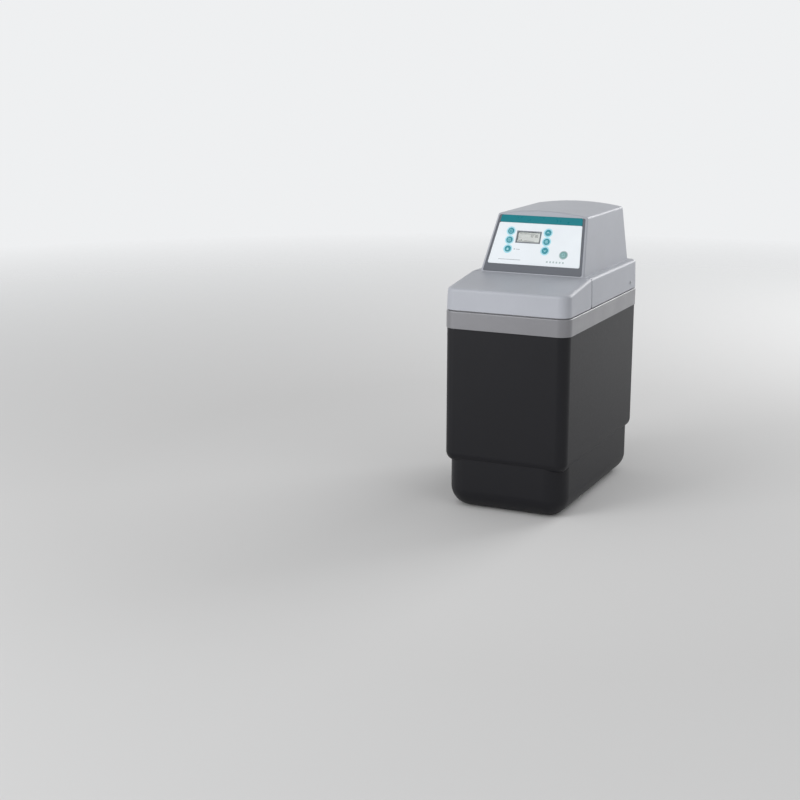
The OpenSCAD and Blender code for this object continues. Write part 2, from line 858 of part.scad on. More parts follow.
module display_module() {
    glass = [display_w - 2*display_rim - 2, display_l - 2*display_rim - 2];
    color("#cfd2c8") on_panel(keys_p, display_q, board_face) {
        linear_extrude(board_depth + fascia_face - 1 - slip) square(glass, center = true);
    }
}

// Push key: a domed cap, a flange behind the fascia and a short stem over its switch
module key(place, r, tint) {
    dome = 30;
    face = fascia_face + key_proud;
    color(tint) on_panel(place[0], place[1]) {
        translate([0, 0, fascia_back - slip/2 - key_flange_t]) {
            intersection() {
                cylinder(r = r, h = face - fascia_back + slip/2 + key_flange_t);
                translate([0, 0, face - fascia_back + slip/2 + key_flange_t - dome]) sphere(dome);
            }
            cylinder(r = r + key_flange, h = key_flange_t);
            translate([0, 0, -key_stem_l]) cylinder(r = 2, h = key_stem_l + cut);
        }
    }
}

teal = "#2f97a6";
module named_key(name) {
    k = KEYS[search([name], KEYS)[0]];
    key(key_place(k[1], k[2]), key_r, teal);
}

module key_regenerate() {
    key([regen_p, regen_q], regen_r, "#7fa9a6");
}

module control_board() {
    color("#2f6b46") on_panel(n = board_face - board_t) linear_extrude(board_t) difference() {
        translate([board_p[0], board_q[0]]) square([board_p[1] - board_p[0], board_q[1] - board_q[0]]);
        board_hole_places() circle(board_screw_r + slip);
    }
}

// Tact switches under the keys, and the connectors and a chip on the back of the board
module board_parts() {
    stem_end = fascia_back - slip/2 - key_flange_t - key_stem_l;
    plunger = stem_end - key_travel - slip - board_face - switch_h;
    chip = [18, 18, 2.5];
    chip_drop = 4;
    connector = [18, 8, 8];
    connector_inset = [20, 10];
    color("#26282b") {
        for (k = KEYS) switch_at(key_place(k[1], k[2]), plunger);
        switch_at([regen_p, regen_q], plunger);
        behind_board([keys_p, display_q - chip_drop], chip);
        for (p = [board_p[0] + connector_inset.x, board_p[1] - connector_inset.x])
            behind_board([p, board_q[0] + connector_inset.y], connector);
    }
}

// Block on the back of the board, centred at a place on the panel
module behind_board(place, size) {
    on_panel(place.x, place.y, board_face - board_t - size.z)
        translate([-size.x/2, -size.y/2, 0]) cube(size);
}

module switch_at(place, plunger) {
    body_w = 6;
    plunger_r = 1.7;
    on_panel(place[0], place[1], board_face) {
        translate([-body_w/2, -body_w/2, 0]) cube([body_w, body_w, switch_h]);
        translate([0, 0, switch_h]) cylinder(r = plunger_r, h = plunger);
    }
}

module board_screws() {
    color("silver") on_panel(n = board_face - board_t) board_hole_places()
        rotate([180, 0, 0]) screw(2.4, 1.6, board_screw_r, board_t + board_depth - recess - 2);
}

module power_socket() {
    barrel_l = 10;
    color("#1f2022") translate([socket_x, head_rear_y, socket_z]) {
        difference() {
            union() {
                translate([0, -barrel_l, 0]) along_y(socket_r, barrel_l);
                along_y(socket_r + 2.5, 2);
            }
            translate([0, 2 - 9, 0]) along_y(2.8, 9 + cut);
        }
        translate([0, -8, 0]) along_y(1, 8);
    }
}

// Resin tank

// Filled outline of the tank's section, set in from its outside
module tank_outline(inset) {
    r = tank_r - inset;
    dome = tank_dome - inset;
    body_h = tank_h - neck_h;
    translate([0, inset]) square([tank_r - tank_dome, body_h - 2*inset]);
    translate([0, tank_dome]) square([r, body_h - 2*tank_dome]);
    for (z = [tank_dome, body_h - tank_dome]) translate([tank_r - tank_dome, z]) circle(dome);
}

module resin_tank() {
    color("#d8c79a") translate([0, tank_y, tank_z]) rotate_extrude() difference() {
        union() {
            tank_outline(0);
            translate([0, tank_h - neck_h - cut]) square([neck_r, neck_h + cut]);
        }
        tank_outline(tank_wall);
        translate([0, tank_h/2]) square([neck_bore, tank_h]);
    }
}

module tank_boot() {
    boot_h = 30;
    boot_r = foot_y - foot_fillet - rest_gap - tank_y;
    boot_hole = 20;
    color("#232427") translate([0, tank_y, cabinet_wall]) rotate_extrude() difference() {
        square([boot_r, boot_h]);
        translate([0, boot_floor]) {
            translate([0, -0.01]) tank_outline(-slip/4);
        }
        square([boot_hole, boot_h]);
    }
}

module resin_bed() {
    color("#c98b2b") translate([0, tank_y, tank_z]) rotate_extrude() difference() {
        intersection() {
            tank_outline(tank_wall + slip);
            square([tank_r, bed_h]);
        }
        square([riser_r + slip, tank_h]);
        square([strainer_r + slip, strainer_top + slip]);
    }
}

module riser_tube() {
    bottom = tank_z + strainer_top - riser_socket;
    color("#e9e9e4") translate([0, tank_y, bottom])
        tube(riser_r, riser_r - riser_wall, socket_top - bottom - slip);
}

strainer_r = 24;
strainer_top = 36;
riser_socket = 8;
riser_wall = 2;
module lower_strainer() {
    slots = 24;
    color("#e9e9e4") translate([0, tank_y, tank_z + tank_wall + slip]) difference() {
        union() {
            cylinder(r = strainer_r, h = strainer_top - tank_wall - 12);
            cylinder(r = riser_r + 3, h = strainer_top - tank_wall - slip);
        }
        translate([0, 0, 3]) cylinder(r = riser_r - riser_wall, h = strainer_top);
        translate([0, 0, strainer_top - tank_wall - slip - riser_socket])
            cylinder(r = riser_r + running, h = strainer_top);
        for (i = [0:slots - 1])
            rotate(360*i/slots) translate([riser_r - 1, -0.6, 4]) cube([strainer_r, 1.2, 12]);
    }
}

module upper_strainer() {
    slots = 24;
    drop = 34;
    color("#e9e9e4") translate([0, tank_y, valve_z - spigot_h - drop]) difference() {
        tube(spigot_bore - running, riser_r + 2, drop + 12);
        for (i = [0:slots - 1])
            rotate(360*i/slots) translate([riser_r, -0.6, 6]) cube([neck_bore, 1.2, drop - 12]);
    }
}

// Control valve
module valve_body() {
    color("#2a2b2e") difference() {
        union() {
            translate([0, tank_y, valve_z]) cylinder(r = collar_r, h = collar_h);
            translate([0, tank_y, valve_z]) cylinder(r = barrel_r, h = barrel_h);
            translate([0, tank_y, valve_z - spigot_h]) cylinder(r = spigot_r, h = spigot_h + cut);
            for (s = [-1, 1]) translate([s*port_x, tank_y, port_z]) {
                along_y(port_r, port_end_y - tank_y);
                translate([0, port_end_y - tank_y - port_flange_t, 0]) along_y(port_flange_r, port_flange_t);
            }
            translate([0, tank_y, drain_z]) along_y(drain_r + 2.5, drain_socket_y - tank_y);
            translate([0, side_port_y, brine_port_z]) {
                translate([-brine_boss_x, 0, 0]) along_x(brine_boss_r, brine_boss_x);
                along_x(injector_boss_r, injector_boss_x);
            }
        }
        translate([0, tank_y, valve_z - spigot_h - cut]) cylinder(r = spigot_bore, h = spigot_h + 12 + cut);
        translate([0, tank_y, valve_z]) cylinder(r = riser_r + running, h = socket_top - valve_z);
        translate([0, tank_y, valve_z - cut]) difference() {
            cylinder(r = seal_ring_r + seal_r + slip, h = cut + 2*seal_r + slip);
            cylinder(r = seal_ring_r - seal_r - slip, h = cut + 2*seal_r + slip);
        }
        translate([0, tank_y, chamber_z]) cylinder(r = chamber_r, h = chamber_h + cut);
        for (s = [-1, 1]) translate([s*port_x, tank_y, port_z]) {
            along_y(port_bore, port_end_y - tank_y + cut);
            translate([s*(port_hole_x - port_x), port_hole_y, 0])
                cylinder(r = port_hole_r, h = chamber_z - port_z + cut);
        }
        translate([0, tank_y + barrel_r/2, drain_z]) along_y(drain_r - drain_wall, cabinet_d);
        translate([-brine_boss_x - cut, side_port_y, brine_port_z]) along_x(brine_bore, barrel_r/2 + 6 + cut);
        translate([injector_boss_x - injector_l - 4, side_port_y, brine_port_z])
            along_x(injector_bore, injector_l + 4 + cut);
        bonnet_screw_places() translate([0, 0, -bonnet_screw_depth - cut])
            cylinder(r = bonnet_screw_r + running, h = bonnet_screw_depth + 2*cut);
    }
}

module bonnet_screw_places() {
    for (i = [0:bonnet_screws_n - 1])
        translate([0, tank_y, barrel_top]) rotate(360*(i + 0.5)/bonnet_screws_n)
            translate([bonnet_screw_ring, 0, 0]) children();
}

module neck_seal() {
    color("#17181a") translate([0, tank_y, valve_z + seal_r]) rotate_extrude()
        translate([seal_ring_r, 0]) circle(seal_r);
}

module fixed_disc() {
    color("#e8e6df") translate([0, tank_y, chamber_z]) difference() {
        cylinder(r = chamber_r - slip, h = disc_t);
        for (s = [-1, 1]) translate([s*port_hole_x, port_hole_y, -cut])
            cylinder(r = port_hole_r, h = disc_t + 2*cut);
    }
}

module moving_disc() {
    color("#f2f0ea") translate([0, tank_y, moving_disc_z]) difference() {
        cylinder(r = chamber_r - 2*slip, h = disc_t);
        translate([-4, 6, -cut]) cube([8, chamber_r/2, disc_t/2 + cut]);
        translate([-3 - slip, -10 - slip, disc_t/2]) cube([6 + 2*slip, 20 + 2*slip, disc_t]);
    }
}

// Shaft with a foot that drives the moving disc and a shoulder that carries the gear
module valve_shaft() {
    foot_h = min(4, barrel_top - shaft_foot_z - slip);
    color("#3a3c40") translate([0, tank_y, 0]) {
        translate([-3, -10, shaft_foot_z - disc_t/2 + running]) cube([6, 20, disc_t/2]);
        translate([0, 0, shaft_foot_z]) cylinder(r = 14, h = foot_h - slip);
        translate([0, 0, shaft_foot_z]) cylinder(r = shaft_r, h = gear_z - shaft_foot_z);
        translate([0, 0, gear_z - cut]) cylinder(r = gear_bore, h = gear_w + 4 + cut);
    }
}

module valve_bonnet() {
    color("#2a2b2e") difference() {
        translate([0, tank_y, barrel_top]) cylinder(r = barrel_r, h = bonnet_t);
        translate([0, tank_y, barrel_top - cut]) cylinder(r = shaft_r + running, h = bonnet_t + 2*cut);
        bonnet_screw_places() translate([0, 0, -cut])
            cylinder(r = bonnet_screw_r + slip, h = bonnet_t + 2*cut);
    }
}

module bonnet_screws() {
    color("silver") bonnet_screw_places()
        translate([0, 0, bonnet_t + plate_t])
            screw(2.9, 2.2, bonnet_screw_r, bonnet_t + plate_t + bonnet_screw_depth);
}

// Plate over the bonnet that carries the motor
module drive_plate() {
    color("#4a4d52") difference() {
        translate([0, 0, bonnet_top]) linear_extrude(plate_t) hull() {
            translate([0, tank_y]) circle(barrel_r, $fn = 48);
            translate([0, motor_y]) circle(motor_r, $fn = 48);
        }
        translate([0, tank_y, bonnet_top - cut]) cylinder(r = shaft_r + 1, h = plate_t + 2*cut);
        translate([0, motor_y, bonnet_top - cut]) cylinder(r = motor_shaft_r + 1, h = plate_t + 2*cut);
        bonnet_screw_places() translate([0, 0, bonnet_t - cut])
            cylinder(r = bonnet_screw_r + slip, h = plate_t + 2*cut);
    }
}

module drive_motor() {
    can_r = 0.62*motor_r;
    can_h = 24;
    bearing_r = 4;
    bearing_h = 4;
    bore_l = motor_shaft_l + 1;
    color("#b9bcc0") translate([0, motor_y, bonnet_top]) difference() {
        union() {
            translate([0, 0, -motor_h]) cylinder(r = motor_r, h = motor_h);
            translate([0, 0, -motor_h - can_h]) cylinder(r = can_r, h = can_h + cut);
            translate([0, 0, -motor_h - can_h - bearing_h]) cylinder(r = bearing_r, h = bearing_h + cut);
        }
        translate([0, 0, -bore_l]) cylinder(r = motor_shaft_r + running, h = bore_l + cut);
    }
}

// Half angle of a tooth at radius r on a gear of pitch radius rp
function involute_angle(a) = tan(a)*180/PI - a;
function tooth_half(r, rp) =
    let (rb = rp*cos(20), a = acos(min(1, rb/max(r, rb))))
    (PI*gear_module/2 - gear_backlash/2)/(2*rp)*180/PI + involute_angle(20) - involute_angle(a);

module gear_outline(teeth) {
    rp = gear_module*teeth/2;
    radii = [rp - 1.25*gear_module, rp - 0.6*gear_module, rp, rp + 0.55*gear_module, rp + gear_module];
    last = len(radii) - 1;
    polygon([for (i = [0:teeth - 1], j = [0:2*last + 1])
        let (r = radii[j <= last ? j : 2*last + 1 - j], side = j <= last ? -1 : 1,
             a = 360*i/teeth + side*tooth_half(r, rp))
        [r*cos(a), r*sin(a)]]);
}

module drive_gear() {
    color("#e4e2da") translate([0, tank_y, gear_z]) difference() {
        rotate(270) linear_extrude(gear_w) gear_outline(gear_teeth);
        translate([0, 0, -cut]) cylinder(r = gear_bore + running, h = gear_w + 2*cut);
        for (i = [0:5]) rotate(60*i + 30) translate([0.56*gear_r, 0, -cut])
            cylinder(r = 0.17*gear_r, h = gear_w + 2*cut);
    }
}

module motor_pinion() {
    color("#d9c36a") translate([0, motor_y, gear_z]) {
        rotate(90 + 180/pinion_teeth) linear_extrude(gear_w) gear_outline(pinion_teeth);
        translate([0, 0, bonnet_top - gear_z - motor_shaft_l])
            cylinder(r = motor_shaft_r, h = gear_z - bonnet_top + motor_shaft_l + cut);
    }
}

module injector_cap() {
    cap_t = 6;
    color("#3a3c40") translate([injector_boss_x, side_port_y, brine_port_z]) {
        along_x(injector_boss_r, cap_t);
        translate([-injector_l, 0, 0]) along_x(injector_bore - slip, injector_l + cut);
        translate([cap_t - cut, 0, 0]) along_x(7, 4 + cut, $fn = 6);
    }
}

// Elbow that turns the brine port forward to the brine tube
module brine_elbow() {
    elbow_r = brine_tube_r + 3;
    reach = -brine_boss_x - brine_x;
    color("#3a3c40") translate([brine_x, side_port_y, brine_port_z]) difference() {
        union() {
            along_x(elbow_r, reach);
            sphere(elbow_r);
            translate([0, -elbow_l, 0]) along_y(elbow_r, elbow_l);
        }
        along_x(elbow_bore, reach + cut);
        translate([0, -elbow_l - cut, 0]) along_y(brine_tube_r + running, elbow_socket + cut);
        translate([0, -elbow_l, 0]) along_y(elbow_bore, elbow_l);
    }
}

module drain_spigot() {
    length = cabinet_d/2 + drain_reach - drain_socket_y;
    color("#3a3c40") translate([0, drain_socket_y, drain_z]) difference() {
        union() {
            along_y(drain_r + 3, 8, $fn = 6);
            along_y(drain_r, length);
        }
        translate([0, -cut, 0]) along_y(drain_r - drain_wall, length + 2*cut);
    }
}

// Flow meter in the outlet port
turbine_y = tank_y + barrel_r + 14;
turbine_l = 14;
turbine_axle_r = 1.2;
turbine_gap = 1.5;           // space between the turbine and each support
support_t = 3;
module flow_turbine() {
    blades = 6;
    blade_t = 1.2;
    blade_past = 4;
    hub_r = 3.4;
    tip_r = port_bore - 1.2;
    axle_past = turbine_gap + support_t + 0.5;
    color("#cfd8dc") translate([port_x, turbine_y, port_z]) {
        along_y(hub_r, turbine_l);
        translate([0, -axle_past, 0]) along_y(turbine_axle_r, turbine_l + 2*axle_past);
        intersection() {
            along_y(tip_r, turbine_l);
            for (i = [0:blades - 1]) rotate([0, 360*i/blades, 0])
                translate([0, turbine_l/2, hub_r/2]) rotate([0, 0, 35])
                    translate([-blade_t/2, -turbine_l/2 - blade_past, 0])
                        cube([blade_t, turbine_l + 2*blade_past, tip_r]);
        }
    }
}

// Spiders that carry the turbine's axle: a rim, three spokes and a hub
module turbine_supports() {
    rim = 1.8;
    hub_r = 3;
    spoke_w = 1.6;
    color("#3a3c40") for (y = [-turbine_gap, turbine_l + turbine_gap + support_t])
        translate([port_x, turbine_y + y, port_z]) rotate([90, 0, 0]) linear_extrude(support_t)
            difference() {
                circle(port_bore - running);
                difference() {
                    circle(port_bore - rim);
                    circle(hub_r);
                    for (i = [0:2])
                        rotate(120*i) translate([-spoke_w/2, 0]) square([spoke_w, port_bore]);
                }
                circle(turbine_axle_r + running);
            }
}

// Bypass valve
module bypass_body() {
    start = port_end_y;
    color("#2a2b2e") difference() {
        union() {
            for (s = [-1, 1]) translate([s*port_x, 0, 0]) {
                translate([0, start, port_z]) along_y(port_r, bypass_end_y - start);
                translate([0, start, port_z]) along_y(port_flange_r, port_flange_t);
                translate([0, bypass_end_y - cut, port_z]) along_y(pipe_r, pipe_l + cut);
                translate([0, bypass_end_y - 3, port_z]) along_y(port_r + 2, 3, $fn = 6);
                translate([0, plug_y, plug_bottom - plug_floor])
                    cylinder(r = plug_barrel_r, h = plug_top - plug_bottom + plug_floor);
            }
            translate([-port_x, plug_y, port_z]) along_x(cross_tube_r, 2*port_x);
        }
        for (s = [-1, 1]) translate([s*port_x, 0, 0]) {
            translate([0, start - cut, port_z]) along_y(bypass_bore, bypass_end_y + pipe_l - start + 2*cut);
            translate([0, plug_y, plug_bottom])
                cylinder(r = plug_r + running, h = plug_top - plug_bottom + cut);
        }
        translate([-port_x, plug_y, port_z]) along_x(cross_bore, 2*port_x);
    }
}

// Snap rings that hold the bypass to the valve's port flanges
module bypass_clips() {
    wall = 2.5;
    clip_l = 2*port_flange_t;
    mouth = 1.2*port_flange_r;
    color("#8c1f1f") for (s = [-1, 1])
        translate([s*port_x, port_end_y - port_flange_t, port_z]) rotate([-90, 0, 0]) difference() {
            tube(port_flange_r + slip + wall, port_flange_r + slip, clip_l);
            translate([-mouth/2, 0, -cut]) cube([mouth, 2*port_flange_r, clip_l + 2*cut]);
        }
}

module bypass_plug(s) {
    color("#d7d7d2") translate([s*port_x, plug_y, 0]) difference() {
        union() {
            translate([0, 0, plug_bottom + slip]) cylinder(r = plug_r, h = plug_top - plug_bottom - slip);
            translate([0, 0, plug_top - cut])
                cylinder(r = plug_stem_r, h = handle_z - plug_top + handle_h - handle_roof + cut);
        }
        translate([0, -2*plug_r, port_z]) along_y(bypass_bore, 4*plug_r);
    }
}

// Lever handle with a pointed end that shows the way of the flow
module bypass_handle(s) {
    color("#a8272b") translate([s*port_x, plug_y, handle_z]) difference() {
        linear_extrude(handle_h) union() {
            circle(handle_hub_r);
            polygon([[-handle_hw, -handle_reach], [handle_hw, -handle_reach],
                     [handle_hw, handle_reach - handle_point], [0, handle_reach],
                     [-handle_hw, handle_reach - handle_point]]);
        }
        translate([0, 0, -cut]) cylinder(r = plug_stem_r + running, h = handle_h - handle_roof + cut);
    }
}

// Brine well and safety float
module brine_well() {
    slots = 8;
    slot = [4, 50];
    slot_z = 10;
    color("#ececea") translate([well_x, well_y, cabinet_wall]) difference() {
        tube(well_r, well_r - well_wall, well_h - cabinet_wall);
        for (i = [0:slots - 1]) rotate(360*i/slots)
            translate([0, -slot.x/2, slot_z]) cube([well_r + cut, slot.x, slot.y]);
    }
}

module brine_well_cap() {
    lip = 2;
    plug_l = 10;
    plug_out = well_r - well_wall - slip;
    plug_in = well_r - well_wall - lip;
    color("#ececea") difference() {
        translate([well_x, well_y, 0]) {
            translate([0, 0, well_h]) cylinder(r = well_r + lip, h = well_cap_t);
            translate([0, 0, well_h - plug_l]) tube(plug_out, plug_in, plug_l + cut);
        }
        translate([brine_x, well_y, well_h - cut])
            cylinder(r = brine_tube_r + running, h = well_cap_t + 2*cut);
        translate([rod_x, well_y, well_h - cut]) cylinder(r = rod_r + slip, h = well_cap_t + 2*cut);
    }
}

// Safety valve at the foot of the well: the tube's socket and the rod's guide
module brine_valve() {
    base_r = well_r - well_wall - 3;
    base_h = 16;
    socket_wall = 3;
    guide_wall = 5;
    pad_r = 12;
    color("#3a3c40") difference() {
        union() {
            translate([well_x, well_y, brine_valve_z]) cylinder(r = base_r, h = base_h);
            translate([brine_x, well_y, brine_valve_z])
                cylinder(r = brine_tube_r + socket_wall, h = brine_valve_h);
            translate([rod_x, well_y, brine_valve_z]) cylinder(r = rod_r + guide_wall, h = brine_valve_h);
            translate([well_x, well_y, cabinet_wall])
                cylinder(r = pad_r, h = brine_valve_z - cabinet_wall + cut);
        }
        translate([brine_x, well_y, brine_valve_top - tube_socket])
            cylinder(r = brine_tube_r + running, h = tube_socket + cut);
        translate([brine_x, well_y, brine_valve_z + 6]) cylinder(r = elbow_bore, h = brine_valve_h);
        translate([rod_x, well_y, rod_bottom - 1])
            cylinder(r = rod_r + running, h = brine_valve_top - rod_bottom + 2);
    }
}

module float_rod() {
    collar_r = 6;
    collar_t = 3;
    rod_past = 2;
    color("#e4e2da") translate([rod_x, well_y, rod_bottom]) {
        cylinder(r = rod_r, h = well_cap_top + rod_past - rod_bottom);
        translate([0, 0, float_z - rod_bottom - collar_t]) cylinder(r = collar_r, h = collar_t - running);
    }
}

module safety_float() {
    color("#d98e3a") translate([rod_x, well_y, float_z]) difference() {
        cylinder(r = float_r, h = float_h);
        translate([0, 0, -cut]) cylinder(r = rod_r + running, h = float_h + 2*cut);
        translate([brine_x - rod_x, 0, -cut]) cylinder(r = brine_tube_r + 1.5, h = float_h + 2*cut);
    }
}

// Brine tube: up the well, through its cap, over in one bend and back to the valve
module brine_tube() {
    bottom = brine_valve_top - tube_socket + slip;
    bore = brine_tube_r - brine_tube_wall;
    rise = brine_port_z - brine_bend - bottom;
    run = side_port_y - elbow_l + elbow_socket - slip - well_y - brine_bend;
    color("#e8eef0", 0.7) translate([brine_x, well_y, 0]) {
        translate([0, 0, bottom]) tube(brine_tube_r, bore, rise);
        translate([0, brine_bend, brine_port_z - brine_bend]) rotate([90, 0, -90])
            rotate_extrude(angle = 90) translate([brine_bend, 0]) difference() {
                circle(brine_tube_r);
                circle(bore);
            }
        translate([0, brine_bend, brine_port_z]) rotate([-90, 0, 0]) tube(brine_tube_r, bore, run);
    }
}

// Slotted floor of the salt bin, on the cabinet's shoulder
module salt_grid() {
    slot = [6, 22];
    pitch = [14, 30];
    color("#dcdfe0") translate([0, 0, grid_z]) linear_extrude(grid_t) difference() {
        intersection() {
            plan_outline(grid_edge_r);
            translate([-cabinet_w, -cabinet_d]) square([2*cabinet_w, cabinet_d + grid_rear_y]);
        }
        translate([0, tank_y]) circle(tank_r + 2);
        translate([well_x, well_y]) circle(well_r + 1);
        for (i = [-7:7], j = [0:3])
            translate([i*pitch.x, -core_y + j*pitch.y]) square(slot, center = true);
    }
}

// Overflow through the cabinet's back wall
overflow_wall_y = core_y + side_r;
module overflow_spigot() {
    color("#3a3c40") translate([overflow_x, overflow_wall_y, overflow_z]) difference() {
        union() {
            translate([0, -cabinet_wall - overflow_thread, 0])
                along_y(overflow_r + 1 - running, cabinet_wall + overflow_thread + cut);
            along_y(overflow_nut_r, 3);
            along_y(overflow_r, overflow_l);
        }
        translate([0, -cabinet_wall - overflow_thread - cut, 0])
            along_y(overflow_r - 2, cabinet_wall + overflow_thread + overflow_l + 2*cut);
    }
}

module overflow_nut() {
    inner_y = overflow_wall_y - cabinet_wall - overflow_nut_t;
    color("#3a3c40") translate([overflow_x, inner_y, overflow_z]) difference() {
        along_y(overflow_nut_r, overflow_nut_t, $fn = 6);
        translate([0, -cut, 0]) along_y(overflow_r + 1, overflow_nut_t + 2*cut);
    }
}

cabinet_shell();
band_front();
band_rear();
salt_lid();
lid_hinge_pins();
valve_hood();
hood_screws();
panel_bezel();
fascia();
header_strip();
display_frame();
display_window();
display_module();
named_key("key_clock");  // key_clock
named_key("key_days");  // key_days
named_key("key_lock");  // key_lock
named_key("key_up");  // key_up
named_key("key_set");  // key_set
named_key("key_down");  // key_down
key_regenerate();
control_board();
board_parts();
board_screws();
power_socket();
resin_tank();
tank_boot();
resin_bed();
riser_tube();
lower_strainer();
upper_strainer();
valve_body();
neck_seal();
fixed_disc();
moving_disc();
valve_shaft();
valve_bonnet();
bonnet_screws();
drive_plate();
drive_motor();
motor_pinion();
drive_gear();
injector_cap();
brine_elbow();
drain_spigot();
flow_turbine();
turbine_supports();
bypass_body();
bypass_clips();
bypass_plug(-1);  // bypass_plug_in
bypass_plug(1);  // bypass_plug_out
bypass_handle(-1);  // bypass_handle_in
bypass_handle(1);  // bypass_handle_out
brine_well();
brine_well_cap();
brine_valve();
float_rod();
safety_float();
brine_tube();
salt_grid();
overflow_spigot();
overflow_nut();
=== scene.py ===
import json
import math

import bmesh
import bpy
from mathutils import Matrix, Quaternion, Vector


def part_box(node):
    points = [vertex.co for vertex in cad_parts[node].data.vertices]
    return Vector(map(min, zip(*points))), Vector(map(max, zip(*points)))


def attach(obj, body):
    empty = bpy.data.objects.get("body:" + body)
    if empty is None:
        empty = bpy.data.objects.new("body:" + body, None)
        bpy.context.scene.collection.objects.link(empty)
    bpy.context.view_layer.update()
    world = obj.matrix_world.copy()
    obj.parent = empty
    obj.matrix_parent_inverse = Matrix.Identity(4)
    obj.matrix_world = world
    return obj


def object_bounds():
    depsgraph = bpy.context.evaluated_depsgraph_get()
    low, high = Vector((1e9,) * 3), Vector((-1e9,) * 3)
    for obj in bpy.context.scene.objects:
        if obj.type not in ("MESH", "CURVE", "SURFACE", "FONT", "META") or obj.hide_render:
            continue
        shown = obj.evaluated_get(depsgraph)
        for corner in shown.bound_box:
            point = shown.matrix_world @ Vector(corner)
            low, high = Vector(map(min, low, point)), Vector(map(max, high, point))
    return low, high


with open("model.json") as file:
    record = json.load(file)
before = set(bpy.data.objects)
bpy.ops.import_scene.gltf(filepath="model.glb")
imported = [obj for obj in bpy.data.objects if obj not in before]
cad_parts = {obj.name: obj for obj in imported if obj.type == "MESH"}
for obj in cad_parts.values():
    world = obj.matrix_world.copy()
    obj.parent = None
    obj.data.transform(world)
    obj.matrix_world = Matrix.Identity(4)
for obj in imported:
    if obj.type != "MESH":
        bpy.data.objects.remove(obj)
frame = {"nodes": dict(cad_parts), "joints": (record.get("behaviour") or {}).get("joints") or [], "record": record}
cad_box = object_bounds()

MM = 0.001
ROOT = "softener"
SLOT_OF = {part["node"]: part["material_slot"] for part in frame["record"]["subparts"]}
JOINTS = {joint["name"]: joint for joint in frame["joints"]}
scene = bpy.context.scene
scene.view_settings.view_transform = "Standard"


# Camera: the photograph's viewing angle, solved from the object's own edges

IMAGE_SIDE = 800
FOCAL_PX = 1510.8
AZIMUTH = 25.28
ELEVATION = 13.36
ROLL = 0.1
AIM = Vector((-205.3, -210.0, 195.4)) * MM
AIM_DISTANCE = 2810.8 * MM


def make_camera():
    azimuth = math.radians(AZIMUTH)
    elevation = math.radians(ELEVATION)
    across = math.cos(elevation)
    forward = Vector((-math.sin(azimuth)*across, math.cos(azimuth)*across, -math.sin(elevation)))
    data = bpy.data.cameras.new("photo_camera")
    data.lens = data.sensor_width*FOCAL_PX/IMAGE_SIDE
    camera = bpy.data.objects.new("photo_camera", data)
    camera.location = AIM - AIM_DISTANCE*forward
    camera.rotation_mode = "QUATERNION"
    camera.rotation_quaternion = forward.to_track_quat("-Z", "Y") @ Quaternion((0, 0, 1), math.radians(ROLL))
    scene.collection.objects.link(camera)
    scene.camera = camera


# Colours are written as they look, in 0 to 255

def linear(red, green, blue):
    def channel(value):
        value /= 255
        return value/12.92 if value <= 0.04045 else ((value + 0.055)/1.055)**2.4
    return channel(red), channel(green), channel(blue)


def shaded(colour, factor):
    return tuple(min(1.0, channel*factor) for channel in colour) + (1.0,)


# Node building

BEVEL_SAMPLES = 4


